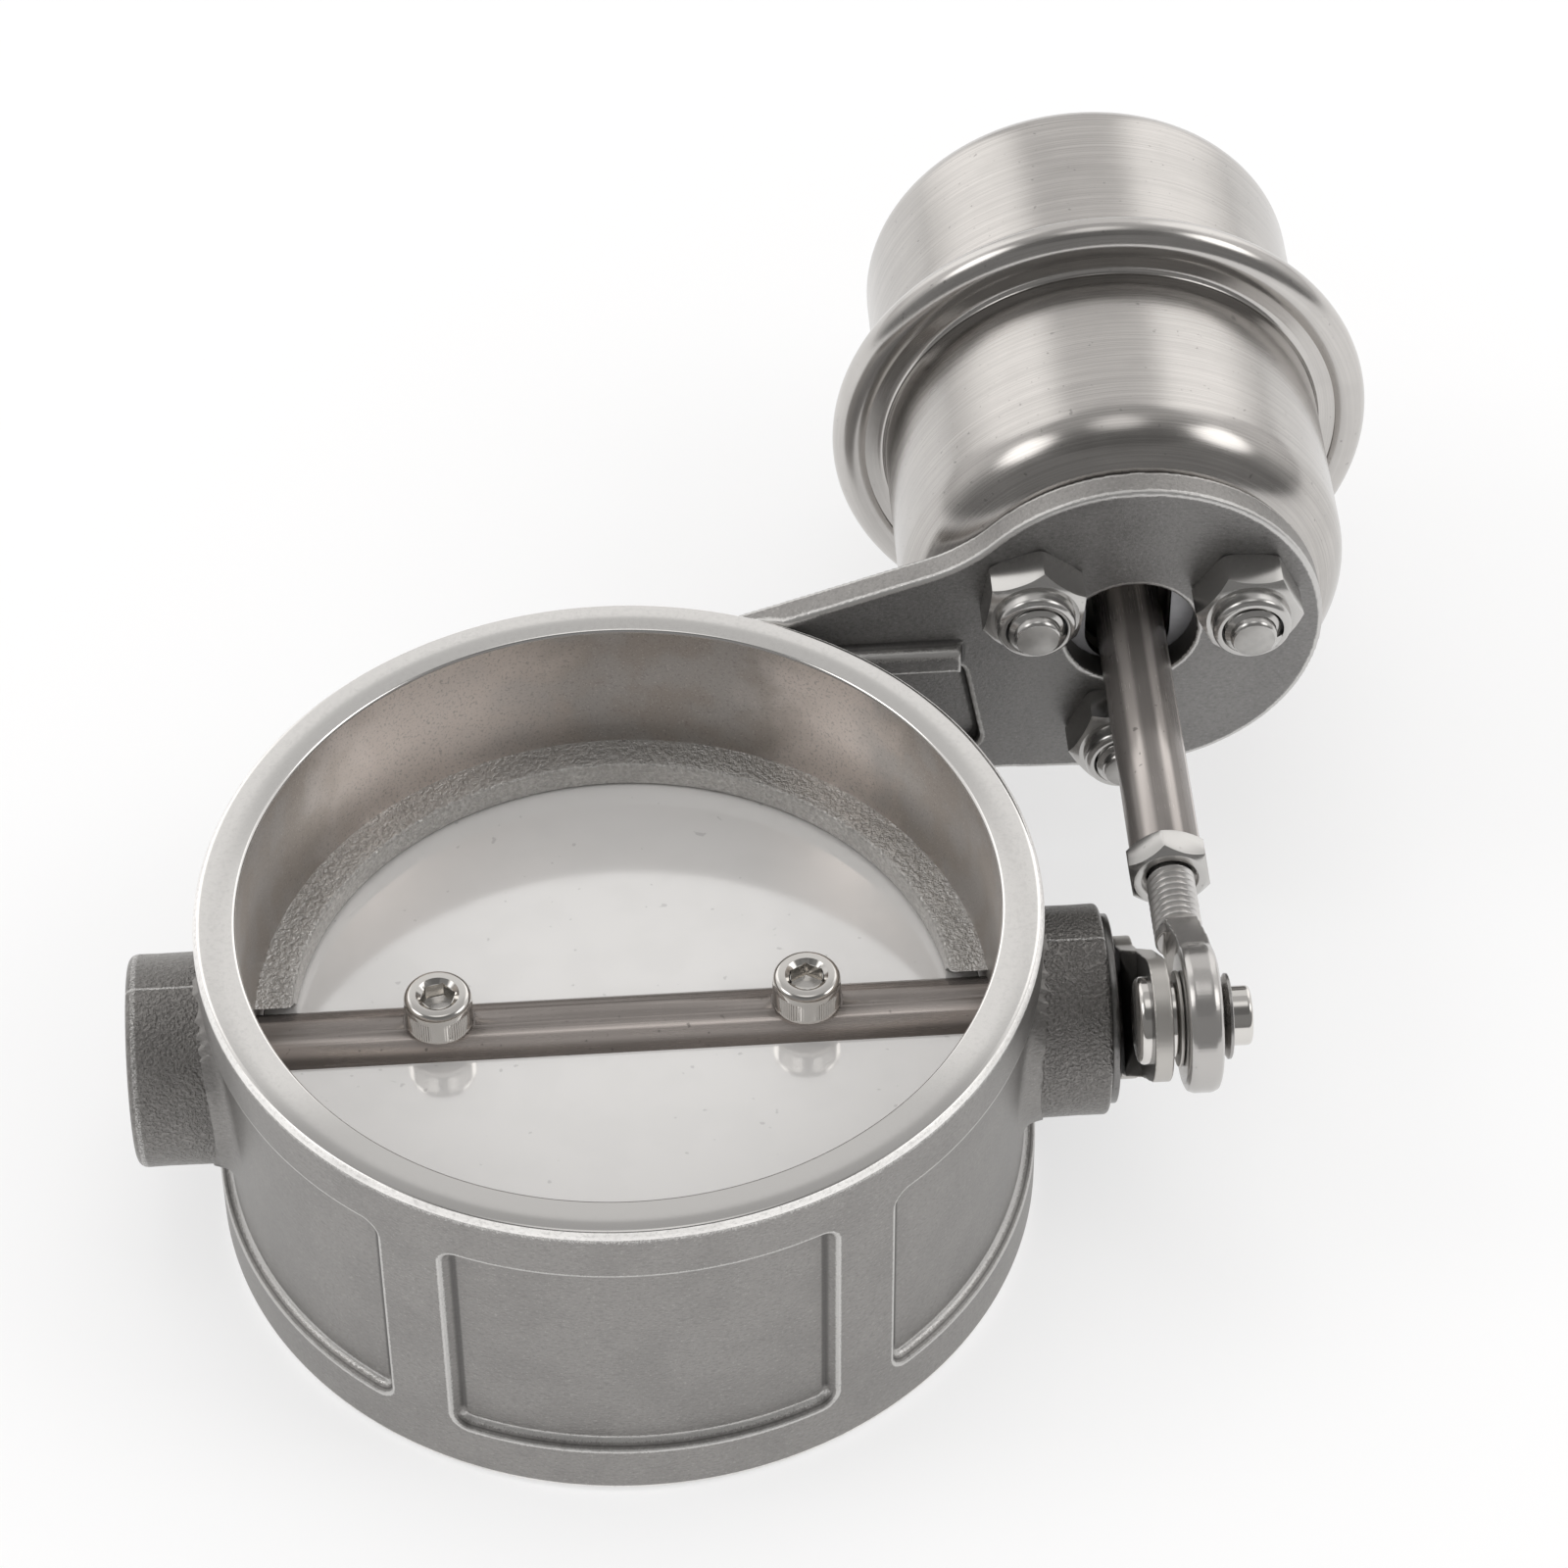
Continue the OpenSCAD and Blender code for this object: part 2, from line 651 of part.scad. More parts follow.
module jam_nut() {
    y0 = pin_y + jam_nut_y;
    color([0.7, 0.68, 0.66]) at_rod() difference() {
        intersection() {
            hex_y(jam_nut_w, y0, y0 + jam_nut_t, 99);
            turned_y([[0, y0], [jam_nut_w / 2 - 0.1, y0], [jam_nut_w / 2 / cos(30) + 0.05, y0 + 0.4],
                [jam_nut_w / 2 / cos(30) + 0.05, y0 + jam_nut_t - 0.65],
                [jam_nut_w / 2 - 0.1, y0 + jam_nut_t], [0, y0 + jam_nut_t]]);
        }
        bar_y(rod_thread_d / 2 + snug, y0 - cut, y0 + jam_nut_t + cut);
    }
}

// Places along the rod: clamp disc, diaphragm, cup and nut, from front to rear
rod_start = pin_y + jam_nut_y + jam_nut_t + snug;
rod_stud_d = 5;
clamp_t = 1.2;
piston_nut_h = 4;
clamp_y = bracket_back + can_wall + piston_park;
skin_y = clamp_y + clamp_t + snug;
piston_y = skin_y + diaphragm_t + snug;
nut_y = piston_y + piston_wall + snug;

module actuator_rod() {
    color([0.42, 0.38, 0.35]) at_rod() difference() {
        union() {
            bar_y(rod_d / 2, rod_start, clamp_y - snug);
            bar_y(rod_stud_d / 2, clamp_y - 1, nut_y + piston_nut_h + 1.2);
        }
        bar_y(rod_thread_d / 2 + snug, rod_start - cut, rod_start + thread_grip + 0.5);
    }
}

module piston_cup() {
    r = piston_r;
    w = piston_wall;
    y0 = piston_y;
    c = 3;
    color([0.65, 0.64, 0.6]) at_rod() turned_y(concat(
        [[rod_stud_d / 2 + snug, y0]],
        arc([r - c, y0 + c], c, -90, 0, 5),
        [[r, y0 + piston_l], [r - w, y0 + piston_l]],
        arc([r - c, y0 + c], c - w, 0, -90, 5),
        [[rod_stud_d / 2 + snug, y0 + w]]));
}

module clamp_disc() {
    color([0.6, 0.59, 0.56]) at_rod() difference() {
        bar_y(piston_r * 0.7, clamp_y, clamp_y + clamp_t);
        bar_y(rod_stud_d / 2 + snug, clamp_y - cut, clamp_y + clamp_t + cut);
    }
}

module piston_nut() {
    color([0.7, 0.69, 0.66]) at_rod() difference() {
        hex_y(8, nut_y, nut_y + piston_nut_h, 0);
        bar_y(rod_stud_d / 2 + snug, nut_y - cut, nut_y + piston_nut_h + cut);
    }
}

// Front cup, open to the rear, with the flange that the bead grips
module front_shell() {
    y0 = bracket_back + snug;
    c = front_corner_r;
    w = can_wall;
    flange_y = bead_y - w;
    flare = 1.6;
    color([0.7, 0.68, 0.65]) at_actuator() difference() {
        turned_y(concat(
            [[0, y0], [can_r - c, y0]],
            arc([can_r - c, y0 + c], c, -90, 0, 10),
            arc([can_r + flare, flange_y - flare], flare, 180, 90, 5),
            [[bead_mid_r - 0.5, flange_y], [bead_mid_r - 0.5, bead_y - snug], [inner_r, bead_y - snug]],
            arc([can_r - c, y0 + c], c - w, 0, -90, 10),
            [[0, y0 + w]]));
        // Upright slot that lets the rod lift at mid stroke
        for (s = [-1, 1]) translate([0, 0, s * rod_lift / 2])
            bar_y(slot_r, y0 - cut, y0 + w + cut);
        translate([-slot_r, y0 - cut, -rod_lift / 2]) cube([2 * slot_r, w + 2 * cut, rod_lift]);
        for (a = [stud_angle, stud_angle + 120, stud_angle + 240])
            translate([stud_circle_d / 2 * cos(a), 0, stud_circle_d / 2 * sin(a)])
                bar_y(stud_d / 2 + snug, y0 - cut, y0 + w + cut);
    }
}

// Rear cup, with the rolled bead round the front cup's flange
module rear_shell() {
    w = can_wall;
    c = rear_corner_r;
    m = [bead_mid_r, bead_y];
    b = bead_round;
    neck = 1.8;
    color([0.7, 0.68, 0.65]) at_actuator() turned_y(concat(
        [[nipple_d / 2 - nipple_step + snug, rear_y]],
        arc([can_r - c, rear_y - c], c, 90, 0, 8),
        arc([can_r + neck, bead_y + b + neck - 0.6], neck, 180, 232, 4),
        arc(m, b, 130, -118, 20),
        arc(m, b - w, -118, 128, 16),
        [[inner_r + 1, bead_y + 0.9], [inner_r, bead_y + 1.9]],
        arc([can_r - c, rear_y - c], c - w, 0, 90, 8),
        [[nipple_d / 2 - nipple_step + snug, rear_y - w]]));
}

module vacuum_nipple() {
    r = nipple_d / 2;
    y1 = rear_y + nipple_l;
    color([0.6, 0.58, 0.55]) at_actuator() turned_y([
        [r - 1, rear_y - can_wall - 1.2], [r + 1.4, rear_y - can_wall - 1.2],
        [r + 1.4, rear_y - can_wall - snug], [r - nipple_step, rear_y - can_wall - snug],
        [r - nipple_step, rear_y + snug], [r, rear_y + snug], [r, y1 - 0.5], [r - 0.4, y1], [r - 1, y1]]);
}

module stud_plate() {
    y0 = bracket_back + can_wall + 2 * snug;
    color([0.6, 0.58, 0.55]) at_actuator() difference() {
        bar_y(stud_circle_d / 2 + stud_d / 2 + 0.55, y0, y0 + stud_plate_t);
        for (s = [-1, 1]) translate([0, 0, s * rod_lift / 2])
            bar_y(slot_r, y0 - cut, y0 + stud_plate_t + cut);
        translate([-slot_r, y0 - cut, -rod_lift / 2])
            cube([2 * slot_r, stud_plate_t + 2 * cut, rod_lift]);
        for (a = [stud_angle, stud_angle + 120, stud_angle + 240])
            translate([stud_circle_d / 2 * cos(a), 0, stud_circle_d / 2 * sin(a)])
                bar_y(stud_d / 2 + snug, y0 - cut, y0 + stud_plate_t + cut);
    }
}

stud_plate_t = 1.6;
nut_front_y = bracket_y - nut_hex_h - nut_collar_h;

module mounting_studs() {
    y0 = nut_front_y - stud_end_l;
    y1 = bracket_back + can_wall + 2 * snug + stud_plate_t;
    color([0.72, 0.7, 0.67]) at_studs() turned_y([[0, y0], [stud_d / 2 - 0.75, y0],
        [stud_d / 2, y0 + 0.7], [stud_d / 2, y1], [0, y1]]);
}

// Lock nut with a hexagon, a shoulder and a round collar
module lock_nut(corner) {
    w = nut_w;
    y1 = bracket_y - snug;
    y0 = y1 - nut_hex_h;
    collar_r = max(w / 2 - 0.85, stud_d / 2 + 1.1);
    difference() {
        union() {
            intersection() {
                hex_y(w, y0, y1, corner);
                turned_y([[0, y0], [w / 2 - 0.2, y0], [w / 2 / cos(30) + 0.05, y0 + 0.8],
                    [w / 2 / cos(30) + 0.05, y1 - 0.3], [w / 2 + 0.3, y1], [0, y1]]);
            }
            turned_y(concat([[0, y0 + 0.5], [0, nut_front_y + 0.4], [collar_r - 0.9, nut_front_y]],
                arc([collar_r - 0.8, nut_front_y + 0.8], 0.8, -90, 0, 4), [[collar_r, y0 + 0.5]]));
        }
        bar_y(stud_d / 2 + snug, nut_front_y - cut, y1 + cut);
        bar_y(stud_d / 2 + 0.2, nut_front_y - cut, nut_front_y + nut_collar_h);
        bar_y(stud_d / 2 + 0.6, nut_front_y + 0.6, nut_front_y + nut_collar_h);
    }
}

module lock_nuts() {
    turns = [56, 21, 6];
    color([0.75, 0.74, 0.72]) for (i = [0:2])
        at_actuator() translate([stud_circle_d / 2 * cos(stud_angle + 120 * i), 0,
            stud_circle_d / 2 * sin(stud_angle + 120 * i)]) lock_nut(turns[i]);
}

module nut_inserts() {
    color([0.2, 0.2, 0.2]) at_studs() difference() {
        bar_y(stud_d / 2 + 0.6 - snug, nut_front_y + 0.6 + snug, nut_front_y + nut_collar_h - snug);
        bar_y(stud_d / 2 + snug, nut_front_y - cut, nut_front_y + nut_collar_h + cut);
    }
}

// Diaphragm like a top hat: its brim is clamped in the bead, its crown lies on the piston cup
module diaphragm() {
    t = diaphragm_t;
    brim_y = bead_y + snug;
    r = inner_r - 0.5;
    color([0.12, 0.12, 0.13]) difference() {
        at_actuator() turned_y([[0, skin_y], [r, skin_y], [r, brim_y],
            [bead_mid_r - 0.6, brim_y], [bead_mid_r - 0.6, brim_y + t], [r - t, brim_y + t],
            [r - t, skin_y + t], [0, skin_y + t]]);
        at_rod() bar_y(rod_stud_d / 2 + snug, skin_y - cut, skin_y + t + cut);
    }
}

// Spring wire as a swept tube round the actuator's axis
module return_spring() {
    n = 14;
    m = 6;
    y0 = nut_y + spring_wire_d / 2 + snug;
    y1 = rear_y - can_wall - spring_wire_d / 2 - 0.05;
    steps = n * spring_turns;
    pts = [for (i = [0:steps]) for (j = [0:m - 1])
        let (a = 360 * i / n, b = 360 * j / m, rr = spring_r + spring_wire_d / 2 * cos(b))
        [rr * cos(a), y0 + (y1 - y0) * i / steps + spring_wire_d / 2 * sin(b), rr * sin(a)]];
    sides = [for (i = [0:steps - 1]) for (j = [0:m - 1])
        [i * m + j, (i + 1) * m + j, (i + 1) * m + (j + 1) % m, i * m + (j + 1) % m]];
    caps = [[for (j = [0:m - 1]) j], [for (j = [m - 1:-1:0]) steps * m + j]];
    color([0.5, 0.5, 0.52]) at_actuator() polyhedron(pts, concat(sides, caps), convexity = 8);
}

valve_ring();
canister_bracket();
blind_side_bush();
drive_side_bush();
shaft_seal();
seal_cover();
valve_shaft();
butterfly_plate();
plate_screws();
crank_lever();
crank_pin();
pin_washer();
pin_clip();
rod_end();
jam_nut();
actuator_rod();
front_shell();
rear_shell();
vacuum_nipple();
stud_plate();
mounting_studs();
lock_nuts();
nut_inserts();
diaphragm();
piston_cup();
clamp_disc();
piston_nut();
return_spring();
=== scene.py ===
"""Looks of the exhaust cutout valve.

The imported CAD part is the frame. Each sub-assembly is a class that builds its dressed pieces on that
frame, with sizes in millimetres, and lets them ride on the CAD bodies.
"""
import logging
import math
from dataclasses import dataclass
from enum import Enum
from typing import Callable, ClassVar, Iterable, Sequence

import bpy
import numpy as np
from mathutils import Matrix, Vector


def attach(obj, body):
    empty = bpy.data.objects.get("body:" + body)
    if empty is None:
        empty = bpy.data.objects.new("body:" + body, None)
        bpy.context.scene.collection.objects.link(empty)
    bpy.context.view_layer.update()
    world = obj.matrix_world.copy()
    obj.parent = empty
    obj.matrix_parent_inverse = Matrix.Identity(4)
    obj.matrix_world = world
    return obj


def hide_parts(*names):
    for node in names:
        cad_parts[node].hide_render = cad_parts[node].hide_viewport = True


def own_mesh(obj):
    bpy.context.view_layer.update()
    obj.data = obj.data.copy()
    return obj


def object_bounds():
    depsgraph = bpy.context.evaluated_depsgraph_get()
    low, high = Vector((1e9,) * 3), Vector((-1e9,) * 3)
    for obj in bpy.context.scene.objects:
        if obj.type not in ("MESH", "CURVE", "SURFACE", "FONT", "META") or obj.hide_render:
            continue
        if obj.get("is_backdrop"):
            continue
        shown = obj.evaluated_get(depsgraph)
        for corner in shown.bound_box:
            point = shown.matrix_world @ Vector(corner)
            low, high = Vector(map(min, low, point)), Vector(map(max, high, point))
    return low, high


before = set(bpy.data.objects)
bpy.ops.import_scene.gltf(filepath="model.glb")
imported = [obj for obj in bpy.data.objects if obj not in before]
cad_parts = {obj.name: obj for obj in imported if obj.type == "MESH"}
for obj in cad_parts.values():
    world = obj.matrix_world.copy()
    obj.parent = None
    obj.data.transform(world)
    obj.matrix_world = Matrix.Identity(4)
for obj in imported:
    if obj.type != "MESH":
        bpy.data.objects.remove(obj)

logging.basicConfig(level=logging.INFO, format="%(message)s")
log = logging.getLogger("valve")

MM = 0.001
NEAR = 2e-6  # points closer than this merge, in metres

# Places that several sub-assemblies share, in millimetres
SHAFT_Z = 20.35
CAN_X = 55.95
CAN_Z = 36.823

Point = tuple[float, float, float]
Profile = list[tuple[float, float]]
Colour = tuple[float, float, float, float]


class Axis(Enum):
    """Direction that a turned piece is turned about."""

    X = (1.0, 0.0, 0.0)
    Y = (0.0, 1.0, 0.0)
    Z = (0.0, 0.0, 1.0)


class Body(Enum):
    """CAD bodies that pieces ride on."""

    HOUSING = "housing"
    SHAFT = "shaft"
    ROD = "rod"


# ---------------------------------------------------------------- finishes


class Val:
    """One number that varies over a surface; arithmetic on it adds Math nodes."""

    def __init__(self, graph: "Graph", socket: bpy.types.NodeSocket) -> None:
        """Wraps an output socket of the graph."""
        self.graph = graph
        self.socket = socket

    def apply(self, operation: str, *values: "Val | float") -> "Val":
        """Adds one Math node.

        Args:
            operation: Name of the Math node's operation.
            values: Its inputs in order.

        Returns:
            The result.
        """
        node = self.graph.node("ShaderNodeMath", {"operation": operation}, dict(enumerate(values)))
        return Val(self.graph, node.outputs[0])

    @staticmethod
    def maker(operation: str, flipped: bool = False) -> "Callable[..., Val]":
        """Makes a method that adds one Math node.

        Args:
            operation: Name of the Math node's operation.
            flipped: Whether the other value comes first.

        Returns:
            The method.
        """
        def method(self: "Val", *others: "Val | float") -> "Val":
            """Applies the operation to this value and the others."""
            return self.apply(operation, *others, self) if flipped else self.apply(operation, self, *others)

        return method

    __add__ = __radd__ = maker("ADD")
    __sub__ = maker("SUBTRACT")
    __rsub__ = maker("SUBTRACT", flipped=True)
    __mul__ = __rmul__ = maker("MULTIPLY")
    __pow__ = maker("POWER")
    __abs__ = maker("ABSOLUTE")
    atan2 = maker("ARCTAN2")
    least = maker("MINIMUM")
    most = maker("MAXIMUM")

    def wrapped(self, low: float, high: float) -> "Val":
        """Value brought into a range by whole turns of it."""
        return self.apply("WRAP", self, high, low)


class Graph:
    """Shader nodes, built through one method."""

    def __init__(self, tree: bpy.types.NodeTree) -> None:
        """Starts with an empty tree."""
        self.tree = tree
        self.tree.nodes.clear()

    def node(self, kind: str, settings: dict | None = None, inputs: dict | None = None) -> bpy.types.Node:
        """Adds a node.

        Args:
            kind: Blender's type name of the node.
            settings: Properties, set before the sockets.
            inputs: Values, Vals or sockets by input name or number.

        Returns:
            The node.
        """
        made = self.tree.nodes.new(kind)
        for key, value in (settings or {}).items():
            setattr(made, key, value)
        for key, value in (inputs or {}).items():
            self.feed(made.inputs[key], value)
        return made

    def feed(self, socket: bpy.types.NodeSocket, value: object) -> None:
        """Links or sets one input socket.

        Args:
            socket: The input.
            value: A Val, a socket or a plain value.
        """
        if isinstance(value, Val):
            value = value.socket
        if isinstance(value, bpy.types.NodeSocket):
            self.tree.links.new(value, socket)
        else:
            socket.default_value = value

    def place(self) -> bpy.types.NodeSocket:
        """Object coordinates in millimetres."""
        coords = self.node("ShaderNodeTexCoord")
        inputs = {0: coords.outputs["Object"], "Scale": 1.0 / MM}
        return self.node("ShaderNodeVectorMath", {"operation": "SCALE"}, inputs).outputs[0]

    def split(self, vector: bpy.types.NodeSocket) -> tuple[Val, Val, Val]:
        """The three numbers of a vector."""
        parts = self.node("ShaderNodeSeparateXYZ", {}, {0: vector})
        return Val(self, parts.outputs[0]), Val(self, parts.outputs[1]), Val(self, parts.outputs[2])

    def join(self, x: Val | float, y: Val | float, z: Val | float) -> bpy.types.NodeSocket:
        """A vector of three numbers."""
        return self.node("ShaderNodeCombineXYZ", {}, {0: x, 1: y, 2: z}).outputs[0]

    def stretch(self, vector: bpy.types.NodeSocket, factors: Point) -> bpy.types.NodeSocket:
        """A vector multiplied component by component."""
        product = self.node("ShaderNodeVectorMath", {"operation": "MULTIPLY"}, {0: vector, 1: factors})
        return product.outputs[0]

    def noise(self, vector: bpy.types.NodeSocket, scale: float, detail: float = 2.0,
              rough: float = 0.5) -> Val:
        """Noise from about 0.3 to 0.7.

        Args:
            vector: Where it is read.
            scale: Features per unit of the vector.
            detail: Octaves.
            rough: Weight of the finer octaves.

        Returns:
            The noise.
        """
        made = self.node("ShaderNodeTexNoise", {"noise_dimensions": "3D"},
                         {"Vector": vector, "Scale": scale, "Detail": detail, "Roughness": rough})
        return Val(self, made.outputs[0])

    def painted(self, name: str) -> Val:
        """An attribute that is stored on the mesh, 0 where a mesh has none."""
        return Val(self, self.node("ShaderNodeAttribute", {"attribute_name": name}).outputs["Fac"])

    def band(self, value: Val, low: float, high: float, start: float = 0.0, end: float = 1.0) -> Val:
        """Smooth step of a value.

        Args:
            value: What is stepped.
            low: Where the step starts.
            high: Where it ends.
            start: Result below low.
            end: Result above high.

        Returns:
            The stepped value.
        """
        made = self.node("ShaderNodeMapRange", {"interpolation_type": "SMOOTHSTEP"},
                         {"Value": value, "From Min": low, "From Max": high, "To Min": start, "To Max": end})
        return Val(self, made.outputs[0])

    def stretches(self, turn: Val, places: Sequence[tuple[float, float]], inner: float, outer: float,
                  peak: float) -> Iterable[Val]:
        """Stretches round an axis, one after the other.

        Args:
            turn: Angle round the axis.
            places: Middle and half width of each stretch, in degrees.
            inner: Share of the half width that has the peak.
            outer: Share of the half width where the stretch has faded out.
            peak: Value in the middle.

        Yields:
            A value for each stretch, 0 outside it.
        """
        for centre, half in places:
            off = abs((turn - math.radians(centre)).wrapped(-math.pi, math.pi))
            yield self.band(off, math.radians(half * inner), math.radians(half * outer), peak, 0.0)

    def mix(self, factor: Val | float, a: object, b: object) -> bpy.types.NodeSocket:
        """A colour between a and b."""
        return self.node("ShaderNodeMix", {"data_type": "RGBA"}, {0: factor, 6: a, 7: b}).outputs[2]

    def bump(self, height: Val, depth: float, under: bpy.types.NodeSocket | None = None,
             strength: float = 1.0) -> bpy.types.NodeSocket:
        """A bumped normal.

        Args:
            height: From 0 to 1.
            depth: Height of 1, in millimetres.
            under: Normal of coarser bumps below it.
            strength: Share that shows.

        Returns:
            The normal.
        """
        inputs = {"Height": height, "Distance": depth * MM, "Strength": strength}
        if under is not None:
            inputs["Normal"] = under
        return self.node("ShaderNodeBump", {}, inputs).outputs[0]


class Skin(Graph):
    """A material's nodes round one Principled shader."""

    def __init__(self, name: str) -> None:
        """Starts a material."""
        self.material = bpy.data.materials.new(name)
        self.material.use_nodes = True
        super().__init__(self.material.node_tree)
        self.shader = self.node("ShaderNodeBsdfPrincipled")
        self.output = self.node("ShaderNodeOutputMaterial", {}, {"Surface": self.shader.outputs[0]})

    def give(self, **sockets: object) -> None:
        """Sets the shader's sockets, named with _ for spaces."""
        for key, value in sockets.items():
            self.feed(self.shader.inputs[key.replace("_", " ")], value)


def tone(red: float, green: float, blue: float) -> Colour:
    """An opaque colour."""
    return (red, green, blue, 1.0)


def lighter(colour: Colour, *factors: float) -> Colour:
    """A colour times one factor, or times one for each of red, green and blue."""
    red, green, blue = factors if len(factors) == 3 else factors * 3
    return tone(min(colour[0] * red, 1.0), min(colour[1] * green, 1.0), min(colour[2] * blue, 1.0))


@dataclass(frozen=True)
class Finish:
    """A plain finish with slight unevenness; the others extend it."""

    name: str
    colour: Colour
    metallic: float = 1.0
    roughness: float = 0.3

    def build(self) -> bpy.types.Material:
        """Builds the material, once per name."""
        known = bpy.data.materials.get(self.name)
        if known is not None:
            return known
        graph = Skin(self.name)
        graph.give(Metallic=self.metallic)
        self.dress(graph)
        return graph.material

    def dress(self, g: Skin) -> None:
        """Adds colour, roughness and relief.

        Args:
            g: The material's graph.
        """
        spot = g.noise(g.place(), 0.6, 3.0)
        fine = g.noise(g.place(), 6.0, 2.0)
        shade = g.mix(g.band(spot, 0.35, 0.65), lighter(self.colour, 0.93), lighter(self.colour, 1.06))
        g.give(Base_Color=shade, Roughness=fine * 0.1 + (self.roughness - 0.05), Normal=g.bump(fine, 0.006))


@dataclass(frozen=True)
class CastSkin(Finish):
    """Cast steel with a fine wavy grain, worn bright on its edges with a painted highlight there, and with
    painted shade in its corners.
    """

    pebbles: float = 0.0
    pebble_size: float = 0.45
    grain: float = 0.016
    stretch: Point = (1.0, 1.0, 2.2)
    wear_and_shade: float = 1.0

    def edge(self, g: Skin) -> Val:
        """Edges above 0 and corners below it, from -1 to 1."""
        return g.painted("wear_and_shade") * self.wear_and_shade

    def dress(self, g: Skin) -> None:
        """Adds grain, speckles, pebbling with painted shade in its hollows and a painted highlight on its
        tops, worn bright edges with a painted highlight, and painted shade in corners.

        Args:
            g: The material's graph.
        """
        here = g.place()
        cloud = g.noise(here, 0.16, 3.0, 0.5)
        fine = g.noise(g.stretch(here, self.stretch), 2.1, 3.0, 0.65)
        dust = g.noise(here, 6.0, 2.0, 0.6)
        skin = g.mix(g.band(cloud, 0.35, 0.65), lighter(self.colour, 0.94), lighter(self.colour, 1.06))
        skin = g.mix(g.band(fine, 0.36, 0.5, 0.4, 0.0), skin, lighter(self.colour, 0.6))
        skin = g.mix(g.band(fine * 0.6 + dust * 0.4, 0.55, 0.66, 0.0, 0.45), skin, lighter(self.colour, 1.7))
        normal = g.bump(fine, self.grain * 3.6)
        if self.pebbles:
            rise = g.band(g.noise(here, 1.0 / self.pebble_size, 3.0, 0.55), 0.3, 0.66)
            # Painted shade in the pebbles' hollows and a painted highlight on their tops
            skin = g.mix(g.band(rise, 0.1, 0.6, 0.2, 0.0), skin, lighter(self.colour, 0.5))
            skin = g.mix(g.band(rise, 0.6, 1.0, 0.0, 0.1), skin, lighter(self.colour, 1.7))
            normal = g.bump(rise, self.pebbles, normal)
        normal = g.bump(dust, self.grain * 0.6, normal)
        edge = self.edge(g)
        # Edges are worn bright and also get a painted highlight
        bright = g.band(edge + (dust - 0.5) * 0.9, 0.2, 0.6, 0.0, 0.85)
        deep = g.band(edge, -0.55, -0.1, 0.75, 0.0)
        skin = g.mix(bright, skin, tone(0.66, 0.65, 0.635))
        # Painted shade in the inner corners
        skin = g.mix(deep, skin, lighter(self.colour, 0.28))
        g.give(Base_Color=skin, Normal=normal,
               Roughness=fine * 0.22 + cloud * 0.18 + (self.roughness - 0.2) - bright * 0.12)


@dataclass(frozen=True)
class PocketSkin(CastSkin):
    """Cast skin of the ring: its pockets' lips are worn bright with a painted highlight, the feet of their
    walls have painted shade and their lower walls a painted highlight.
    """

    height: float = 40.7
    outer_r: float = 42.6
    pocket_band: float = 6.4
    corner: float = 2.0
    slope: float = 1.0
    rim_wear_and_sheen: float = 1.5
    pockets: tuple[tuple[float, float], ...] = ()

    def edge(self, g: Skin) -> Val:
        """Lips of the pockets, the rims and the lower walls above 0, for wear and painted highlights; feet of
        the walls and the lower walls' crease below it, for painted shade.
        """
        x, y, z = g.split(g.place())
        turn = y.atan2(x)
        up = abs(z - self.height / 2)
        v = up - (self.height / 2 - self.pocket_band - self.corner)
        away: Val | None = None
        for centre, span in self.pockets:
            off = abs((turn - math.radians(centre)).wrapped(-math.pi, math.pi))
            u = (off - math.radians(span / 2)) * self.outer_r + self.corner
            p, q = u.most(0.0), v.most(0.0)
            one = u.most(v).least(0.0) + (p * p + q * q) ** 0.5 - self.corner
            away = one if away is None else away.least(one)
        # The lips are worn bright and get a painted highlight
        lip = g.band(abs(away), 0.1, 0.42, 0.62, 0.0)
        # The lower wall faces the light, so it is bright and its foot is not dark
        sill = g.band(z, self.pocket_band + 0.9, self.pocket_band + 2.6, 1.0, 0.0)
        # Painted shade at the foot of the walls that do not face the light
        foot = g.band(abs(away + self.slope), 0.12, 0.6, 0.5, 0.0) * (1.0 - sill)
        wall = g.band(abs(away + self.slope * 0.8), 0.12, 0.45, 0.6, 0.0) * sill
        # Painted shade in the lower wall's crease
        crease = g.band(abs(away + self.slope * 0.3), 0.05, 0.2, 0.5, 0.0) * sill
        worn = g.noise(g.place(), 2.2, 4.0, 0.7) * 1.4 + z
        # The rims' edges are worn bright and get a painted highlight
        rim = g.band(worn, self.height - self.rim_wear_and_sheen + 0.55, self.height - self.rim_wear_and_sheen + 1.3, 0.0, 0.42)
        return lip - foot + wall - crease + rim


@dataclass(frozen=True)
class BossSkin(CastSkin):
    """Cast skin of the bosses with the mould's parting line along their top and worn ends, both lighter with
    a painted highlight.
    """

    seam_y: float = 0.1
    end_x: float = 49.4

    def edge(self, g: Skin) -> Val:
        """The parting line and the worn rounded ends, both with a painted highlight."""
        x, y, z = g.split(g.place())
        wave = g.noise(g.stretch(g.place(), (1.0, 0.0, 0.0)), 0.5, 2.0)
        seam = g.band(abs(y - self.seam_y + (wave - 0.5) * 0.12), 0.06, 0.2, 0.7, 0.0)
        end = g.band(abs(abs(x) - self.end_x), 0.15, 0.5, 0.4, 0.0)
        return seam + end


